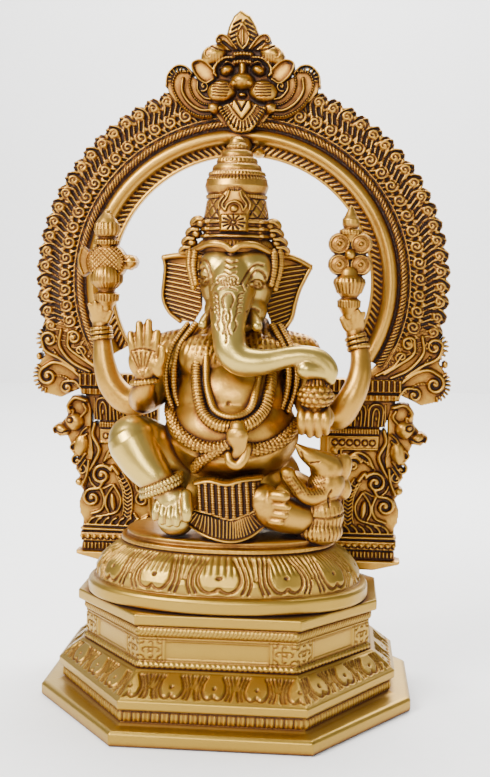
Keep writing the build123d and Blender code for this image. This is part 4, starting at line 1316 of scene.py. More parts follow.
def corded(pitch: float, depth: float, lean: float = 0.0) -> Relief:
    """Relief of a twisted or ribbed cord."""
    return lambda length, angle: depth * (np.abs(np.sin(math.pi * length / pitch + lean * angle)) ** 0.6
                                          - 0.5)


def scaled(pitch: float, depth: float, across: int) -> Relief:
    """Relief of round scales in staggered rows."""
    def relief(length: Array, angle: Array) -> Array:
        """Height of the scales."""
        row = np.floor(length / pitch)
        u = (length / pitch) % 1.0 - 0.5
        v = (angle / (2 * math.pi) * across + 0.5 * (row % 2)) % 1.0 - 0.5
        gap = np.hypot(u, v)
        return depth * np.where(gap < 0.46, np.sqrt(np.clip(1 - (gap / 0.46) ** 2, 0, 1)), 0) - depth * 0.4
    return relief


@dataclass
class Figure:
    """The seated deity with its ornaments."""

    bulges: tuple[tuple[Point, Point], ...] = (((1.2, -17.0, 127.0), (31.6, 28.5, 23.5)),
                                               ((1.5, -9.0, 160.0), (27.0, 20.0, 19.0)),
                     ((1.2, -13.0, 144.0), (29.0, 26.0, 20.0)))

    def _front(self, x: float, z: float) -> float:
        """How far forward the trunk of the body reaches at a place."""
        best = 0.0
        for (cx, cy, cz), (ax, ay, az) in self.bulges:
            rest = 1 - ((x - cx) / ax) ** 2 - ((z - cz) / az) ** 2
            if rest > 0:
                best = min(best, cy - ay * math.sqrt(rest))
        return best

    def _laid(self, route: Sequence[tuple[float, float]], radius: float, lift: float = 0.2) -> list:
        """A route of (x, z) points laid on the body, as (x, y, z, radius) points."""
        return [(x, self._front(x, z) - lift, z, radius) for x, z in route]

    def torso(self) -> None:
        """Belly, chest, back and shoulders."""
        parts = [ball(centre, axes) for centre, axes in self.bulges]
        parts += [ball((1, -8, 104), (33, 24, 22)), ball((-1, -4, 150), (24, 20, 26)),
                  ball((-12, -21, 162), (12.5, 10, 11)), ball((15, -21, 162), (12.5, 10, 11)),
                  tube([(-30, -5, 163, 10.5), (0, -5, 167, 12), (32, -5, 163, 10.5)]),
                  tube([(0, -6, 165, 13), (1, -8, 185, 12)])]
        body = fuse("torso_cast", parts, 0.75, 10)

        def navel(points: Array, normals: Array) -> Array:
            """A small navel and the belly's lower fold."""
            gap = np.hypot(points[:, 0] - 1.7, points[:, 2] - 143.2)
            fold = np.abs(points[:, 2] - (118.5 + 0.010 * (points[:, 0] - 1.5) ** 2))
            front = normals[:, 1] < -0.1
            x, z = points[:, 0], points[:, 2]
            shawl = np.clip((z - 158 - 0.25 * np.abs(x - 1)) / 3, 0, 1) * (np.abs(x - 1) > 6) * front
            folds = np.clip(1 - np.abs(np.sin(1.25 * np.abs(x - 1) + 0.42 * z)) * 1.7, 0, 1)
            return np.where(front, -1.0 * bump_of(gap, 1.8) - 0.8 * bump_of(fold, 2.4),
                            0.0) - 0.9 * folds * shawl
        carve(body, navel)
        dress(body, Finish.ANTIQUE, "torso")

    def head(self) -> None:
        """Head and trunk in one cast body, engraved, with the tusks."""
        parts = [ball((1.9, -9, 197), (17.2, 17.5, 19)), ball((-4.2, -17, 203), (11, 10.5, 10.5)),
                 ball((8.2, -17, 203), (11, 10.5, 10.5)), ball((2.0, -14, 184), (14.8, 13, 11)),
                 ball((2.4, -16, 178), (9.5, 13, 6)),
                 tube([(1.3, -18, 201, 11.5), (1.1, -24, 194, 10.8), (0.9, -30, 187, 9.4),
                       (0.8, -35.5, 180, 8.1),
                               (1.4, -39, 173, 7.4), (3.0, -41.5, 166.5, 7.2), (7.5, -42.8, 162.6, 6.9),
                               (14, -43.2, 161.9, 6.1), (21, -43, 162.9, 5.1), (28, -42.6, 164.6, 4.7),
                               (35, -42, 165.2, 4.6), (41.6, -41, 163.6, 4.8), (46.0, -40.5, 159.2, 4.3),
                               (46.4, -40.5, 155.2, 3.0)], around=32),
                 tube([(44.2, -41, 157.6, 3.4), (40.2, -42.5, 158.8, 4.2), (36.0, -43.5, 159.4, 4.6)])]
        body = fuse("head_and_trunk", parts, 0.48, 9)
        eye = lambda cx, cz, a, b, lean: [[(cx + a * math.cos(t), cz + b * math.sin(t) + lean * math.cos(t))
                                           for t in np.linspace(0, 2 * math.pi, 11)]]
        fine = [[(-2.0, 212.3), (-1.5, 210.3), (0.7, 209.4), (3.1, 210.4), (3.4, 212.3)],
                [(6.3, 196.8), (9.2, 202.4), (11.8, 205.0), (15.2, 204.9)],
                [(8.6, 195.4), (10.8, 200.8), (12.9, 202.5), (15.4, 201.2), (16.4, 198.6)],
                [(-14.4, 205.4), (-12.4, 206.9), (-9.9, 205.2), (-8.6, 200.8), (-7.6, 196.4)],
                [(-14.6, 201.6), (-12.3, 203.3), (-10.4, 201.2), (-9.6, 198.4), (-8.8, 194.8)],
                [(9.2, 184.0), (11.2, 185.0), (13.6, 184.0)], [(-9.4, 184.4), (-8.0, 185.6), (-6.6, 184.4)]]
        fine += eye(12.7, 196.1, 2.7, 1.7, -0.5) + eye(12.7, 196.0, 0.9, 1.0, 0) + eye(-12.3, 197.0, 2.2, 1.7,
                                                                                       0.5)
        fine += eye(-12.3, 197.0, 0.8, 1.0, 0)
        engrave(body, fine, 1.1, 0.95)
        smile = [[(-1.3, 206.5), (0.8, 205.8), (3.3, 206.5)], [(-1.3, 204.0), (0.8, 203.3), (3.2, 204.0)],
                 [(-1.4, 201.8), (0.9, 200.9), (3.5, 201.7)]]
        petals = [[(-7.7, 193.0), (-6.6, 195.6), (-4.4, 196.4), (-4.9, 198.6), (-2.2, 199.9), (-0.2, 199.4),
                   (1.9, 200.0), (4.2, 198.8), (4.2, 196.6), (6.6, 195.8), (8.0, 192.8)]]
        for number in range(6):
            x = -3.2 + number * 1.35
            petals.append([(x, 198.8 - 0.16 * (number - 2.5) ** 2), (x + 0.25, 196.9), (x + 0.9, 195.6)])
        petals += [[(-3.6, 193.8), (0.4, 195.0), (4.4, 193.6)],
                   [(-0.8, 185.8), (-1.8, 189.4), (-0.6, 191.7), (0.9, 192.2), (2.5, 191.7), (3.4, 189.4),
                    (2.3, 185.8)]]
        for side, x0 in ((-1, -5.6), (1, 6.6)):
            for number in range(5):
                z = 192.2 - number * 2.1
                x = x0 + side * (0.6 - 0.25 * number) + (0.15 * number)
                petals.append([(x, z), (x - side * 1.4, z - 0.3), (x - side * 2.0, z - 1.7)])
        petals += [[(-0.4, 184.6), (-1.0, 181), (0.4, 177.6), (-0.6, 174.6)],
                   [(2.0, 184.6), (2.6, 181), (1.6, 177.6), (2.8, 174.4)],
                   [(0.6, 182.6), (1.0, 180.6)], [(-3.4, 183.4), (-2.8, 180.6), (-4.0, 178.6), (-2.8, 176.2)],
                   [(4.8, 183.2), (4.4, 180.4), (5.4, 178.4), (4.4, 175.6)],
                   [(0.8, 176.4), (1.4, 173.0), (1.0, 170.6)]]
        engrave(body, smile + petals, 0.85, 0.75)
        dress(body, Finish.POLISHED, "head", "trunk")
        tusks = join("tusks_cast", [
            tube([(9.6, -24, 181.6, 3.6), (12.2, -30, 179.2, 3.1), (13.6, -34.6, 177.4, 2.4)]),
            tube([(-7.0, -24, 182, 3.4), (-9.6, -29, 180, 3.0), (-10.8, -33.6, 178, 2.3)])])
        dress(tusks, Finish.POLISHED, "tusks")

    def ears(self) -> None:
        """Ribbed fan ears with a rolled edge."""
        shapes = {1: ([(15.6, 208.6), (24.4, 209.4), (30.5, 207.6), (36.2, 204.4), (33.6, 199.4),
                       (30.9, 193.6),
                       (29.2, 187.6), (27.6, 180.4), (24.4, 175.2), (18.6, 176.2), (15.6, 184)], 16.5),
                  -1: ([(-14.6, 208.9), (-20.0, 209.2), (-27.0, 209.0), (-33.8, 208.0), (-33.0, 203.0),
                        (-33.6, 196.0),
                        (-34.0, 189.0), (-31.0, 182.4), (-25.6, 178.0), (-18.6, 177.6), (-14.6, 184)], -15.5)}
        for side, (outline, root) in shapes.items():
            art = field_of((min(p[0] for p in outline) - 1, 173), (max(p[0] for p in outline) + 1, 211), 0.26)
            art.flat(outline, 1.6)
            for number in range(15):
                z = 205.4 - number * 2.05
                rim = 35.0 - number * 0.62 if side > 0 else -33.6 + max(0, number - 9) * 1.2
                art.ridge([(root, z - 3.0 - number * 0.14), ((root + rim) / 2, z - 1.2 - number * 0.1),
                           (rim, z)],
                          1.45, 1.7, 1.0, grow=False)
            art.ridge(outline[:4], 3.4, 4.0, 0.4)
            art.ridge(outline[3:9], 2.6, 3.5, 0.4)
            place = (lambda side: lambda x, z, h: np.stack(
                [x, -10.5 + 0.34 * np.abs(x - 1) - 0.006 * (x * side - 20) ** 2 - h, z], -1))(side)
            piece = plaque_piece(f"ear_{hand(side)}", art, place, -1.8)
            dress(piece, Finish.ANTIQUE, f"{hand(side)}_ear")

    def crown(self) -> None:
        """Tiered crown: lathed body with ribs and hatching, plaque, comb band and side flowers."""
        profile = [(209.6, 15.0), (210.6, 17.6), (212.4, 18.2), (214.2, 17.7), (215.6, 16.8), (216.4, 16.2),
                   (225.4, 15.6), (226.2, 14.6), (234.8, 13.1), (235.4, 13.9), (236.6, 14.2), (237.4, 13.4),
                   (238.2, 14.0), (241.0, 14.9), (243.6, 14.2), (245.4, 12.9), (246.0, 13.3), (247.4, 12.9),
                   (248.2, 11.6), (249.4, 11.5), (250.6, 11.0), (251.4, 9.6), (252.6, 9.4), (253.8, 8.9),
                   (254.6, 7.4),
                   (256.0, 7.3), (257.2, 6.6), (258.0, 4.9), (259.4, 5.0), (260.4, 4.4), (261.2, 3.6),
                   (262.6, 3.3), (263.8, 2.0), (264.1, 0.5)]
        z = np.arange(209.6, 264.1, 0.24)
        radius = np.interp(z, [p[0] for p in profile], [p[1] for p in profile])
        angle = np.linspace(0, 2 * math.pi, 248, endpoint=False)
        level, turn = np.meshgrid(z, angle, indexing="ij")
        size = np.repeat(radius[:, None], len(angle), 1)
        comb = (level > 212.6) & (level < 215.8)
        size += np.where(comb, 0.9 * np.abs(np.sin(turn * 34)) ** 0.6 - 0.5, 0)
        bars = np.minimum.reduce([np.abs(level - b) for b in (217.9, 221.2, 224.5)])
        size += np.where((level > 216.4) & (level < 225.6), 1.5 * bump_of(bars, 2.2) - 0.5, 0)
        post = np.minimum(np.abs(turn - 3.86), np.abs(turn - 5.56)) * 15.6
        size += np.where((level > 216.4) & (level < 225.6), 1.3 * bump_of(post, 2.2), 0)
        cross = np.minimum(np.abs(np.sin(turn * 8 + (level - 226) * 0.52)),
                           np.abs(np.sin(turn * 8 - (level - 226) * 0.52)))
        size += np.where((level > 226.4) & (level < 234.8), 0.8 - 1.3 * (1 - cross) ** 5, 0)
        for low, high, count, depth in ((235.2, 237.2, 60, 0.5), (243.8, 245.6, 54, 0.7),
                                        (246.0, 247.6, 50, 0.5),
                                        (252.2, 254.2, 30, 0.4), (258.2, 260.2, 16, 0.3)):
            size += np.where((level > low) & (level < high), depth * (np.abs(np.sin(turn * count / 2)) - 0.4),
                             0)
        body = np.stack([1.2 + size * np.cos(turn), -8 + size * 0.96 * np.sin(turn), level], -1)
        count = len(angle)
        quads = grid_quads(len(z), count, wrap_columns=True)
        points = np.vstack([body.reshape(-1, 3), [[1.2, -8, 209.6], [1.2, -8, 264.2]]])
        ends = []
        for first, hub in ((0, len(points) - 2), ((len(z) - 1) * count, len(points) - 1)):
            ring = first + np.arange(count)
            pairs = ring.reshape(-1, 2)
            ends.append(np.stack([pairs[:, 0], pairs[:, 1], np.roll(ring, -2).reshape(-1, 2)[:, 0],
                                  np.full(len(pairs), hub)], 1))
        lathe = mesh_object("crown_body", points, np.vstack([quads] + ends))
        outwards(lathe)
        art = field_of((-8.5, 217.5), (11.5, 244.5), 0.24)
        art.flat([(1.6, 243.6), (-2.4, 238.8), (-4.4, 236.8), (-6.9, 233.0), (-5.9, 228.4), (-5.4, 219.4),
                  (8.2, 219.4), (8.4, 228.4), (9.6, 233.0), (7.2, 236.8), (5.4, 238.8)], 1.8)
        art.flat([(-4.8, 219.8), (7.6, 219.8), (7.6, 227.8), (-4.8, 227.8)], 3.2)
        for number in range(12):
            turn_at = math.pi * 2 * number / 12
            art.groove([(1.4 + 1.1 * math.cos(turn_at), 223.9 + 0.9 * math.sin(turn_at)),
                        (1.4 + 5.2 * math.cos(turn_at), 223.9 + 3.5 * math.sin(turn_at))], 0.8, 1.0)
        art.ridge([(-2.6, 229.4), (-1.4, 232.2), (1.5, 233.4), (4.4, 232.2), (5.6, 229.4)], 1.2, 1.7, 1.4)
        art.dome(1.5, 230.2, 1.9, 1.7, 1.8, 1.6)
        for side in (-1, 1):
            art.ridge([(1.5 + side * 4.4, 229.6), (1.5 + side * 5.6, 232.0), (1.5 + side * 3.4, 235.4),
                       (1.5 + side * 2.6, 238.2)], 1.2, 1.6, 1.4)
            art.ridge([(1.5 + side * 7.0, 230.0), (1.5 + side * 7.2, 232.8), (1.5 + side * 5.0, 236.0)], 1.1,
                      1.4, 1.3)
            for number in range(4):
                art.groove([(1.5 + side * 0.9 * number, 238.4), (1.6 + side * 0.45 * number, 242.0)], 0.55,
                           0.9)
        plaque = plaque_piece("crown_plaque", art, lambda x, z, h: np.stack(
            [x, -23.2 + 0.12 * (z - 219) + 0.030 * (x - 1.4) ** 2 - h, z], -1), -3.0)
        pieces = [lathe, plaque,
                  tube([(-17.2, -16, 211.4, 1.5), (-9, -24.6, 214.2, 1.6), (-2.4, -27, 213.6, 1.5),
                                (1.2, -27.4, 211.6, 1.5), (4.8, -27, 213.6, 1.5), (11.6, -24.4, 213.6, 1.6),
                                (19.2, -16, 209.6, 1.5)], step=0.5)]
        flowers = {-1: [(-17.2, 224.6, 3.0), (-19.6, 219.8, 2.7), (-21.6, 215.6, 2.6), (-23.2, 211.4, 2.3)],
                   1: [(19.0, 223.6, 3.0), (20.6, 219.6, 2.7), (22.6, 215.6, 2.6), (24.0, 211.8, 2.3)]}
        for side, spots in flowers.items():
            for x, z0, r in spots:
                pieces.append(ball((x, -9, z0), (r * 1.25, r * 0.9, r), (0, side * 25, 0), 3))
                pieces.append(ball((x - side * 2.6, -10.5, z0 - 0.8), (r, r, r * 0.9), detail=3))
                pieces.append(tube([(x - side * 3.2, -12.8, z0 + 1.2, 0.9),
                                    (x - side * 0.4, -12.4, z0 + 1.2, 0.9),
                                            (x + side * 1.4, -11.2, z0 - 0.2, 0.8)], step=0.5, around=10))
            edge = 18.4 if side > 0 else -15.8
            pieces.append(tube([(edge + side * 1.0, -17.5, 211, 1.5), (edge + side * 1.4, -19, 204, 1.6),
                                        (edge + side * 0.2, -19.5, 196, 1.2)], step=0.3, around=14,
                                        relief=corded(1.3, 0.5)))
            pieces.append(tube([(edge + side * 3.8, -13, 211, 1.6), (edge + side * 3.8, -14, 204, 1.8),
                                        (edge + side * 1.8, -15, 194, 1.3)], step=0.3, around=14,
                                        relief=corded(1.1, 0.4)))
        dress(join("crown_cast", pieces), Finish.ANTIQUE, "crown")
        stay = join("crown_stay_cast", [tube([(1.2, -6, 258.5, 3.0), (1.0, 14, 261.5, 3.4),
                                              (0.4, 31, 265, 4.4)]),
                                        ball((8.6, 27, 260.2), (3.0, 5, 2.4)),
                                        ball((-7.4, 27, 260.2), (2.6, 5, 2.2))])
        dress(stay, Finish.ANTIQUE, "crown_stay")

    @staticmethod
    def _hand(palm: Point, tips: Sequence[Point], size: float) -> list[bpy.types.Object]:
        """Four fingers and a thumb from a palm's centre to their tips."""
        return [tube([(palm[0] + (x - palm[0]) * 0.55, palm[1], palm[2] + 1, size * 1.12),
                              ((x + palm[0] + (x - palm[0]) * 0.5) / 2, (y + palm[1]) / 2, (z + palm[2]) / 2,
                               size * 1.05),
                              (x, y, z, size * 0.86)], step=0.7, around=16) for x, y, z in tips]

    def arms(self) -> None:
        """Both pairs of arms with their hands and bracelets."""
        rear = {-1: [(-24, -3, 161, 11), (-33, -3, 150, 8.8), (-42, -4, 141, 7.6), (-51, -5, 140, 6.9),
                     (-58, -6, 147, 6.2), (-61.4, -6, 157, 5.4), (-62.6, -5.5, 167, 4.5),
                     (-63.6, -5, 176, 4.0)],
                1: [(26, -3, 161, 11), (35, -3, 149, 8.8), (43, -6, 137, 7.6), (50.5, -11, 135.5, 6.8),
                    (56.4, -13, 144, 6.2), (60.0, -11, 154, 5.5), (60.2, -7, 164, 4.6),
                    (57.0, -5, 174.5, 4.0)]}
        for side, route in rear.items():
            x, y, z, _ = route[-1]
            lean = -1 if side > 0 else 1
            tips = [(x - 4.2, y - 4.4, z + 9.4), (x - 1.4, y - 5.4, z + 10.4), (x + 1.6, y - 5.2, z + 10.0),
                    (x + 4.2, y - 3.8, z + 8.8)]
            parts = [tube(route, around=28), ball((x, y - 0.5, z + 4.2), (5.4, 3.8, 5.2))]
            parts += self._hand((x, y - 2.6, z + 3.4), tips, 1.55)
            parts.append(tube([(x + lean * 3.4, y - 2.4, z + 2, 1.9), (x + lean * 5.6, y - 3.6, z + 6, 1.6)]))
            body = fuse(f"rear_arm_{hand(side)}", parts, 0.5, 5)
            bands = []
            path = curve_through(route, 200)[:, :3]
            for share, size in ((0.90, 5.4), (0.935, 5.2), (0.965, 5.0)):
                number = int(share * 199)
                way = path[number] - path[number - 8]
                way /= np.linalg.norm(way)
                across = np.cross(way, [0, 1, 0])
                across *= 0.86 * size / np.linalg.norm(across)
                bands.append(tube(ring(path[number], across, np.cross(way, across), 1.0, turn=FULL_TURN),
                                  step=0.45,
                                  around=12, closed=True, relief=corded(1.2, 0.4)))
            piece = join(body.name, [body] + bands)
            dress(piece, Finish.ANTIQUE, f"{hand(side)}_rear_arm")
        bless = [tube([(-27, -9, 160, 10.5), (-34, -14, 149, 8.6), (-39.5, -21, 142.6, 7.2),
                               (-39, -29, 145, 5.8), (-37.2, -33, 150, 4.8), (-36.8, -34.5, 156, 4.8)],
                               around=28),
                 ball((-37.0, -35, 161), (7.6, 3.6, 8.6)),
                 ball((-31.6, -36, 158.6), (3.4, 3.0, 5.4), (0, -18, 0))]
        for x, top, lean in ((-42.6, 174.6, -0.8), (-39.2, 179.2, -0.4), (-35.4, 180.2, 0.1),
                             (-31.9, 175.4, 0.6)):
            bless.append(tube([(x + 0.8 * (-37 - x) * 0.2, -35.4, 163, 2.1),
                               (x, -35.9, (top + 163) / 2, 2.05),
                                       (x + lean, -34.9, top - 1.6, 1.7)], step=0.7, around=16))
        bless.append(tube([(-31.4, -36.4, 157, 2.4), (-29.0, -37.0, 162.4, 2.1), (-28.8, -36.8, 167.4, 1.7)],
                          step=0.7, around=16))
        arm = fuse("front_arm_right", bless, 0.42, 4)
        engrave(arm, [[(-37.4, 153.6), (x, 165.0)] for x in (-43.0, -40.6, -38.2, -35.8, -33.4)]
                + [[(-42.6, 165.6), (-37, 166.8), (-32, 165.4)]], 0.8, 0.6, -0.3, -30)
        bracelet = tube(ring((-37.0, -34.0, 151.6), (5.6, 0, 0.8), (0, 5.0, 0), 1.3), step=0.5, around=12,
                        closed=True, relief=corded(1.5, 0.5))
        dress(join("front_arm_right", [arm, bracelet]), Finish.ANTIQUE, "right_front_arm")
        hold = [tube([(29, -9, 160, 10.5), (35, -16, 150, 8.4), (38, -25, 142, 7.2), (40, -33, 138, 6.4)],
                     around=28), ball((40.4, -37.5, 137.6), (8.6, 6.2, 7.0))]
        for x, low in ((34.6, 131.6), (38.2, 130.4), (41.8, 130.4), (45.2, 131.8)):
            hold.append(tube([(x, -40.6, 142.4, 1.9), (x, -44.4, 139.2, 2.15), (x, -45.0, 135.4, 2.1),
                                      (x + 0.1, -42.6, low, 1.7)], step=0.7, around=16))
        arm = fuse("front_arm_left", hold, 0.42, 4)
        dress(arm, Finish.ANTIQUE, "left_front_arm")
        sweet = tube([(40.4, -41, 143.0, 5.2), (40.4, -41.4, 146.4, 7.6), (40.4, -41.4, 149.8, 7.2),
                                    (40.4, -41, 152.6, 4.0)], step=0.35, around=90,
                                    relief=scaled(2.2, 1.0, 14))
        dress(join("sweet_cast", [sweet]), Finish.ANTIQUE, "sweet")

    def legs(self) -> None:
        """Raised right knee with its foot, and the folded left leg."""
        toes = [(-29.6, -46.4, 92.4, 1.55), (-26.4, -48.0, 91.0, 1.6), (-23.0, -49.0, 90.4, 1.65),
                (-19.6, -49.4, 90.6, 1.7), (-15.4, -48.6, 93.4, 2.5)]
        parts = [tube([(-14, -8, 100, 15), (-28, -18, 112, 14.5), (-40, -28, 122.6, 12.6)], around=36),
                 ball((-42.6, -33, 124.4), (11.2, 10.6, 11.6)),
                 tube([(-42.4, -34, 123, 11.2), (-37, -37, 115, 9.8), (-31, -39.4, 108.6, 8.0),
                               (-26.6, -40.4, 103.8, 6.4), (-23.6, -41, 98.6, 7.0)], around=36),
                 ball((-22.4, -41, 99.6), (7.4, 6.6, 6.4)), ball((-22, -36, 88.5), (8.5, 8, 7))]
        parts += [tube([(x * 0.86 - 3.1, y + 4.5, z + 8.4, r * 1.2), (x, y, z + 3.0, r * 1.1),
                        (x, y - 0.4, z - 0.6, r)],
                       step=0.7, around=16) for x, y, z, r in toes]
        leg = fuse("leg_right", parts, 0.42, 3)
        anklet = [tube(ring((-28.0, -39.6, 105.4 + lift), (8.6, 0, 3.7), (0, 8.2, 0), 1.45, 14), step=0.5,
                       around=14, closed=True, relief=corded(1.5, 0.75)) for lift in (-1.2, 1.1)]
        dress(join("leg_right", [leg] + anklet), Finish.POLISHED, "right_leg")
        parts = [tube([(12, -8, 98, 15.5), (28, -14, 96, 14), (42, -16, 92, 11)], around=36),
                 tube([(42, -18, 90, 9.6), (32, -30, 91, 8.6), (22, -38, 95, 8.2), (18, -40, 100, 7.6)],
                      around=36),
                 ball((20.8, -42.6, 98.2), (5.6, 5.0, 8.2))]
        parts += [tube([(x - 4, y + 1.6, z, r), (x, y, z, r), (x + 0.8, y + 0.4, z, r * 0.85)], step=0.7,
                       around=16)
                  for x, y, z, r in ((27.2, -47.2, 103.2, 2.8), (28.6, -47.6, 98.6, 2.0),
                                     (27.8, -47.4, 94.9, 1.85), (26.0, -46.8, 91.5, 1.75))]
        dress(fuse("leg_left", parts, 0.45, 4), Finish.ANTIQUE, "left_leg")

    def dhoti(self) -> None:
        """Pleated apron and its crescent hem."""
        art = field_of((-22.6, 80.6), (23.4, 111.6), 0.25)
        art.flat([(-12.4, 107.0), (0.2, 108.4), (16.6, 109.8), (16.4, 96.8), (3.9, 91.8), (-10.2, 95.6)], 1.0)
        for number in range(9):
            x = -10.4 + number * 3.1
            low = 96.4 - 4.0 * (1 - abs(number - 4.4) / 4.4)
            art.ridge([(x - 0.5, 107.8), (x + 0.1, 102), (x + 0.5, low)], 2.5, 2.0, 0.9)
        near = art._near((-13, 90), (17, 108))
        art.height[near] -= 0.45 * (np.abs(np.sin(math.pi
                                                  * art.z[near] / 1.05)) > 0.72) * (art.height[near] > 1.6)
        art.ridge([(-12.6, 95.4), (-4, 93.8), (4.0, 91.9), (11, 94.2), (16.8, 97.0)], 1.8, 2.4)
        art.ridge([(-12.8, 107.0), (-6, 108.6), (2, 107.6), (9, 109.4), (16.8, 110.0)], 2.6, 3.2)
        hem = [(-20.8, 91.4), (-9.0, 93.9), (4.1, 90.8), (13.0, 93.4), (21.6, 91.6), (16.4, 85.6),
               (9.5, 82.8), (4.2, 82.0), (-1.2, 82.4), (-8, 84.2), (-15, 87.2)]
        art.flat(hem, 1.4)
        art.ridge([(-20.6, 90.6), (-14.6, 87.0), (-6, 83.8), (4.0, 82.2), (11.5, 83.6), (17.2, 87.0),
                   (21.6, 91.4)], 2.0, 3.0)
        for number in range(25):
            share = number / 24
            low = curve_through([(-19.0, 90.6), (-6, 85.2), (4.0, 83.8), (11.5, 85.2), (20.4, 90.8)],
                                25)[number]
            high = curve_through([(-13.5, 94.0), (-6, 92.6), (4.0, 90.8), (9.5, 92.6), (15.0, 94.6)],
                                 25)[number]
            art.ridge([tuple(low), tuple((low + high) / 2 + (0.4 * (0.5 - share), 0)), tuple(high)], 1.05,
                      1.3, 1.3)
        piece = plaque_piece("dhoti_cast", art, lambda x, z, h: np.stack(
            [x, -44.2 + 0.10 * (z - 96) + 0.016 * (x - 2) ** 2 - 2.2 * np.exp(-((z - 101) / 7.0) ** 2)
             + 0.0045 * np.abs(x - 2) ** 2.2 * (z < 94) - h, z], -1), -5.5)
        dress(piece, Finish.ANTIQUE, "dhoti")

    def ornaments(self) -> None:
        """Necklace and snake belt."""
        outer = [(-10, 178), (-13.4, 168), (-13.8, 156), (-12.4, 147), (-9.4, 138.6), (-3.6, 134.2),
                 (3.8, 133.2), (11.4, 134.6), (17.0, 139.8), (19.4, 148), (19.6, 158), (18.2, 168), (14, 178)]
        inner = [(-7, 178), (-9.4, 168), (-9.2, 156), (-7.4, 147), (-3.8, 139.6), (3.6, 137.4), (10.6, 139.8),
                 (13.4, 147), (14.6, 158), (13.8, 168), (10.5, 178)]
        ropes = [tube(self._laid(outer, 2.6, 0.8), step=0.32, around=20, relief=corded(1.55, 0.7, 0.5)),
                 tube(self._laid(inner, 1.7, 1.0), step=0.4, around=18, relief=corded(1.2, 0.2))]
        for side, x in ((-1, 0.0), (1, 2.6)):
            for near, size in ((22.8, 1.5), (26.4, 1.2)):
                ropes.append(tube([(x + side * (near - 6), -15, 177, size), (x + side * near, -23, 167, size),
                                           (x + side * (near + 2.4), -25, 157, size),
                                           (x + side * (near + 1.6), -26, 147, size),
                                           (x + side * (near - 1), -26, 139, size)], step=0.35, around=16,
                                  relief=corded(1.4, 0.6, 0.5)))
        for side, x in ((-1, -26.0), (1, 29.0)):
            band = ring((x, -9, 153.5), (6.944, 0, 5.6 * side), (0, 11.6, 0), 1.3, 14)
            ropes.append(tube(band, step=0.5, around=14, closed=True, relief=corded(1.4, 0.5)))
        dress(join("necklace_cast", ropes), Finish.ANTIQUE, "necklace")
        belt = [tube(self._laid([(-29.4, 140), (-26.4, 136.8), (-21.4, 130), (-14.4, 125.6), (-6.4, 123.6),
                                         (0.6, 124.6), (5.0, 127.5)], 2.7, 1.2), step=0.36, around=36,
                                         relief=scaled(1.9, 0.7, 10)),
                tube(self._laid([(8.5, 124.2), (14.5, 123.2), (21.4, 124.6), (27.4, 128.0), (31.4, 133)], 2.7,
                                1.2),
                     step=0.36, around=36, relief=scaled(1.9, 0.7, 10)),
                tube(self._laid([(-13.6, 112.4), (-10.2, 117.0), (-5.4, 120.6), (0.4, 124.0), (4.4, 126.6)],
                                2.3, 1.6),
                     step=0.36, around=30, relief=scaled(1.8, 0.6, 9)),
                tube([(3.0, -48.6, 121.0, 2.2), (4.2, -49.8, 118.0, 2.3), (7.2, -50.0, 117.2, 2.3),
                              (9.8, -49.4, 120.2, 2.3), (10.8, -48.4, 124.6, 2.2)], step=0.5),
                tube([(5.2, -48.8, 119.4, 2.0), (7.6, -50.4, 124, 2.8), (7.2, -51.0, 128.6, 4.6),
                              (6.9, -51.0, 131.2, 4.9), (6.9, -50.4, 133.6, 3.4)], step=0.5, around=24,
                              flat=0.62)]
        hood = belt[-1]
        engrave(hood, [oval(5.0, 131.4, 1.1, 1.1, 9),
                       oval(8.8, 131.4, 1.1, 1.1, 9)], 0.7, 0.5)
        dress(join("snake_belt_cast", belt), Finish.ANTIQUE, "snake_belt")

    def build(self) -> None:
        """Make every piece of the figure."""
        self.torso()
        self.head()
        self.ears()
        self.crown()
        self.arms()
        self.legs()
        self.dhoti()
        self.ornaments()


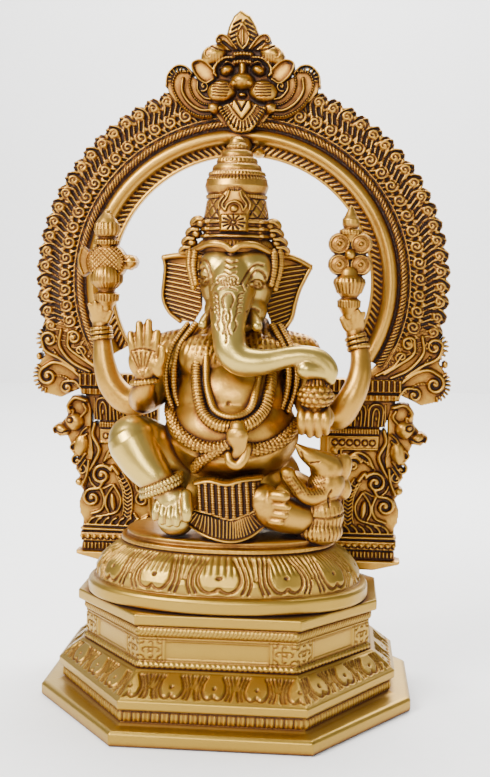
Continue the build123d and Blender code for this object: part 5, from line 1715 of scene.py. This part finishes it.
@dataclass
class Emblems:
    """Emblems in the upper hands."""

    @staticmethod
    def _turned(centre: Point, profile: Sequence[tuple[float, float]],
                ribs: Sequence[tuple[float, float, int, float]]
                ) -> bpy.types.Object:
        """Turned stem: (height, radius) points, with (low, high, count, depth) ribbed bands."""
        z = np.arange(profile[0][0], profile[-1][0], 0.22)
        radius = np.interp(z, [p[0] for p in profile], [p[1] for p in profile])
        route = [(centre[0], centre[1], level, r) for level, r in zip(z, radius)]

        def relief(length: Array, angle: Array) -> Array:
            """Ribs of the bands."""
            level = profile[0][0] + length
            lift = np.zeros_like(level)
            for low, high, count, depth in ribs:
                lift += np.where((level > low) & (level < high),
                                 depth * (np.abs(np.sin(angle * count / 2)) - 0.5), 0)
            return lift
        return tube(route[::3], step=0.3, around=72, relief=relief)

    def build(self) -> None:
        """Make both emblems."""
        x, y = -60.0, -8.0
        stem = self._turned((x, y, 0), [(184.5, 3.0), (187, 5.2), (190.6, 5.8), (191.6, 3.8), (193, 4.4),
                                        (196, 7.2),
                                        (198.6, 7.4)], [(187, 190.4, 22, 0.9), (193, 198.4, 26, 0.9)])
        top = self._turned((x, y, 0), [(212.6, 4.2), (214, 5.6), (215.6, 5.8), (216.6, 4.0), (218, 5.2),
                                       (220.4, 6.0), (223.0, 5.6), (225.6, 4.2), (227.6, 2.6), (228.8, 1.4)],
                           [(213.6, 216, 24, 0.8), (218, 224, 18, 0.7)])
        art = field_of((-74.5, 194.5), (-44.0, 217.0), 0.24)
        art.dome(x, 205.4, 9.6, 9.2, 3.4, 2.2)
        near = art._near((x - 6.4, 199.2), (x + 6.4, 211.6))
        art.height[near] += 0.8 * (np.abs(np.sin(1.5 * (art.x[near] + art.z[near]))) * np.abs(
            np.sin(1.5 * (art.x[near] - art.z[near])))) ** 0.5 - 0.4
        art.ridge(oval(x, 205.4, 8.2, 7.8, 20), 2.4, 5.2, smooth=False, beads=1.5)
        art.flat([(-67, 209.6), (-71.6, 213.0), (-74.0, 208.6), (-74.2, 203.0), (-71.4, 198.2), (-67, 201.4)],
                 2.6)
        art.ridge([(-71.8, 211.6), (-73.0, 205.4), (-71.0, 199.4)], 1.6, 3.6)
        art.flat([(-52.6, 209.0), (-48.6, 209.4), (-45.4, 205.6), (-48.4, 201.6), (-52.6, 202.0)], 3.2)
        art.dome(-48.4, 205.6, 3.2, 3.4, 4.0, 0.6)
        art.ridge([(-52.4, 206.0), (-46.0, 205.6)], 1.0, 4.6)
        disk = plaque_piece("part", art, lambda a, b, h: np.stack([a, y + 0.6 - h, b], -1), -5.4)
        dress(join("axe_emblem_cast", [stem, top, disk]), Finish.ANTIQUE, "axe_emblem")
        x, y = 54.4, -8.0
        stem = self._turned((x, y, 0), [(182.5, 3.0), (186, 5.0), (189.4, 5.2), (190.4, 3.8), (192.6, 5.4),
                                        (197.4, 7.2), (199.6, 6.6), (201.0, 5.2)],
                                        [(186, 189.4, 22, 0.8), (192.6, 199.6, 22, 1.0)])
        top = self._turned((x, y, 0), [(218.0, 3.6), (220.0, 5.0), (221.6, 5.0), (222.6, 3.4), (224.4, 4.0),
                                       (226.6, 4.0),
                                       (228.4, 2.8), (231.0, 1.6), (232.4, 0.8)], [(219.4, 222, 20, 0.7)])
        art = field_of((42.0, 198.6), (67.0, 222.4), 0.24)
        for dx, dz in ((-4.9, 4.9), (4.9, 4.9), (-4.9, -4.6), (4.9, -4.6)):
            cx, cz = x + dx, 210.4 + dz
            art.dome(cx, cz, 5.5, 5.4, 2.6, 1.6)
            art.ridge(oval(cx, cz, 4.3, 4.2, 16), 1.5, 4.2, smooth=False)
            art.ridge(oval(cx, cz, 2.2, 2.2, 12), 1.0, 4.4, smooth=False)
            art.dome(cx, cz, 1.1, 1.1, 2.2, 3.2)
        art.dome(x, 210.5, 2.7, 2.7, 3.4, 3.0)
        leaf = plaque_piece("part", art, lambda a, b, h: np.stack([a, y + 0.6 - h, b], -1), -5.4)
        dress(join("lotus_emblem_cast", [stem, top, leaf]), Finish.ANTIQUE, "lotus_emblem")


@dataclass
class Mouse:
    """Mouse at the left knee, looking up."""

    def build(self) -> None:
        """Make the mouse."""
        parts = [ball((43.6, -26, 91.5), (10.8, 8.6, 11.5)), ball((42.6, -27, 84), (11.4, 9.0, 7.0)),
                 ball((46.0, -26.4, 106), (8.6, 7.8, 8.0)), ball((45.8, -27, 113), (7.8, 6.8, 7.0)),
                 tube([(46.5, -27, 113.6, 6.6), (41.0, -30, 117.4, 5.0), (36.0, -32, 120.6, 3.4),
                               (32.4, -33, 124.0, 1.3)], around=26),
                 ball((51.4, -25, 111.8), (5.4, 3.6, 8.8), (0, 26, 0)),
                 ball((53.0, -24.5, 104.0), (4.4, 3.4, 6.0), (0, -14, 0)),
                 tube([(46, -29, 103, 4.6), (38.5, -34, 101.0, 4.0), (32, -35, 105.6, 3.8),
                       (28.4, -35, 110.6, 3.6)],
                      around=22), ball((28.4, -35.4, 112.0), (3.6, 3.4, 2.8))]
        body = fuse("mouse_cast", parts, 0.45, 6)

        def fur(points: Array, normals: Array) -> Array:
            """Grooved coat on the lower body and short hairs on the throat."""
            x, y, z = points.T
            around = np.arctan2(y + 26, x - 43)
            base = (z < 90.4) & (normals[:, 2] > -0.6)
            sunk = -0.75 * np.clip(1 - np.abs(np.sin(around * 15)) * 1.9, 0, 1) * base
            bib = (z > 91.6) & (z < 96) & (normals[:, 1] < 0)
            sunk += -0.5 * np.clip(1 - np.abs(np.sin(around * 13)) * 2.0, 0, 1) * bib
            sunk += -0.8 * bump_of(np.abs(z - 91.0 - 0.012 * (x - 43) ** 2), 1.3) * (normals[:, 1] < 0)
            throat = (z > 102.5) & (z < 110.5) & (x < 45.5) & (y < -27)
            sunk += -0.55 * np.clip(1 - np.abs(np.sin((x + 0.7 * z) * 2.2)) * 1.8, 0, 1) * throat
            return sunk
        carve(body, fur)
        engrave(body, [[(34.2, 121.4), (34.9, 119.6), (35.0, 118.0)],
                       [(47.6, 96.4), (47.0, 101), (48.4, 104)],
                       [(38.6, 116.2), (42.6, 117.2)]], 1.0, 0.7, 0.1)
        dress(body, Finish.ANTIQUE, "mouse")


# ---------------------------------------------------------------- light, camera and floor
@dataclass(frozen=True)
class Lamp:
    """Soft square lamp; its places and size are in millimetres."""

    name: str
    place: Point
    aim: Point
    size: float
    power: float
    colour: Point = (1.0, 1.0, 1.0)

    def build(self) -> None:
        """Add the lamp."""
        data = bpy.data.lights.new(self.name, "AREA")
        data.shape = "RECTANGLE"
        data.size = self.size * MM
        data.size_y = self.size * MM
        data.energy = self.power
        data.color = self.colour
        lamp = bpy.data.objects.new(self.name, data)
        lamp.location = Vector(self.place) * MM
        lamp.rotation_euler = (Vector(self.aim) - Vector(self.place)).to_track_quat("-Z", "Y").to_euler()
        bpy.context.scene.collection.objects.link(lamp)


@dataclass
class Studio:
    """Pale floor and backdrop, soft lamps and the camera."""

    camera_place: Point = (50.41, -540.5, 199.0)
    camera_aim: Point = (5.73, 0.0, 146.1)
    camera_roll: float = 0.87
    lens_mm: float = 52.58
    floor_reach: float = 3000.0
    world_colour: tuple[float, float, float, float] = (1.0, 0.99, 0.97, 1.0)
    world_strength: float = 0.38
    lamps: tuple[Lamp, ...] = (
        Lamp("key", (-520, -560, 660), (0, 0, 150), 380, 17.5, (1.0, 0.985, 0.95)),
        Lamp("fill", (640, -420, 260), (0, 0, 150), 420, 1.1, (1.0, 0.96, 0.90)),
        Lamp("front", (0, -900, 420), (0, 0, 160), 300, 5.0),
        Lamp("rim", (200, 520, 620), (0, 0, 200), 500, 6.0),
        Lamp("paper_wash", (0, 500, 1500), (0, 1500, 500), 900, 60.0))

    def camera(self) -> None:
        """Put the camera in place."""
        data = bpy.data.cameras.new("camera")
        data.lens = self.lens_mm
        data.sensor_width = 36.0
        data.clip_start = 0.01
        camera = bpy.data.objects.new("camera", data)
        place, aim = Vector(self.camera_place) * MM, Vector(self.camera_aim) * MM
        turn = (aim - place).to_track_quat("-Z", "Y").to_matrix().to_4x4()
        roll = Matrix.Rotation(math.radians(self.camera_roll), 4, "Z")
        camera.matrix_world = Matrix.Translation(place) @ turn @ roll
        bpy.context.scene.collection.objects.link(camera)
        bpy.context.scene.camera = camera

    @staticmethod
    def _backdrop(reach: float) -> bpy.types.Object:
        """Upright paper far behind the floor's middle."""
        bpy.ops.mesh.primitive_plane_add(size=2 * reach * MM,
                                         location=(0, 0.5 * reach * MM, 0.2 * reach * MM),
                                         rotation=(math.pi / 2, 0, 0))
        wall = bpy.context.active_object
        wall.name = "backdrop"
        return wall

    def build(self) -> None:
        """Make the floor, backdrop, lamps, world and camera."""
        paper = Shader("paper")
        grain = paper.node("ShaderNodeTexNoise", {}, {"Scale": 900.0, "Detail": 2.0})
        tone = paper.node("ShaderNodeMix", {"data_type": "RGBA"},
                          {0: grain, 6: (0.93, 0.93, 0.93, 1.0), 7: (0.97, 0.97, 0.97, 1.0)}, 2)
        surface = paper.node("ShaderNodeBsdfPrincipled", {}, {"Base Color": tone, "Roughness": 0.9}, "BSDF")
        out = paper.nodes.new("ShaderNodeOutputMaterial")
        paper.links.new(surface.socket, out.inputs["Surface"])
        bpy.ops.object.select_all(action="DESELECT")
        bpy.ops.mesh.primitive_plane_add(size=2 * self.floor_reach * MM)
        floor = bpy.context.active_object
        floor.name = "floor"
        floor.data.materials.append(paper.material)
        wall = self._backdrop(self.floor_reach)
        wall.data.materials.append(paper.material)
        for lamp in self.lamps:
            lamp.build()
        world = bpy.data.worlds.new("studio")
        world.use_nodes = True
        sky = world.node_tree.nodes["Background"]
        sky.inputs["Color"].default_value = self.world_colour
        sky.inputs["Strength"].default_value = self.world_strength
        bpy.context.scene.world = world
        self.camera()


def main() -> None:
    """Build the object piece by piece, then the studio."""
    logging.basicConfig(level=logging.INFO, format="%(message)s")
    bpy.ops.object.select_all(action="DESELECT")
    for finish, look in FINISHES.items():
        MATERIALS[finish] = look.build()
    for name in FASTENERS:
        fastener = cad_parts[name]
        fastener.data.materials.clear()
        fastener.data.materials.append(MATERIALS[Finish.ZINC])
    for part in (Stand(), Seat(), Arch(), Pillars(), Mask(), Figure(), Emblems(), Mouse(), Studio()):
        part.build()


if __name__ == "__main__":
    main()
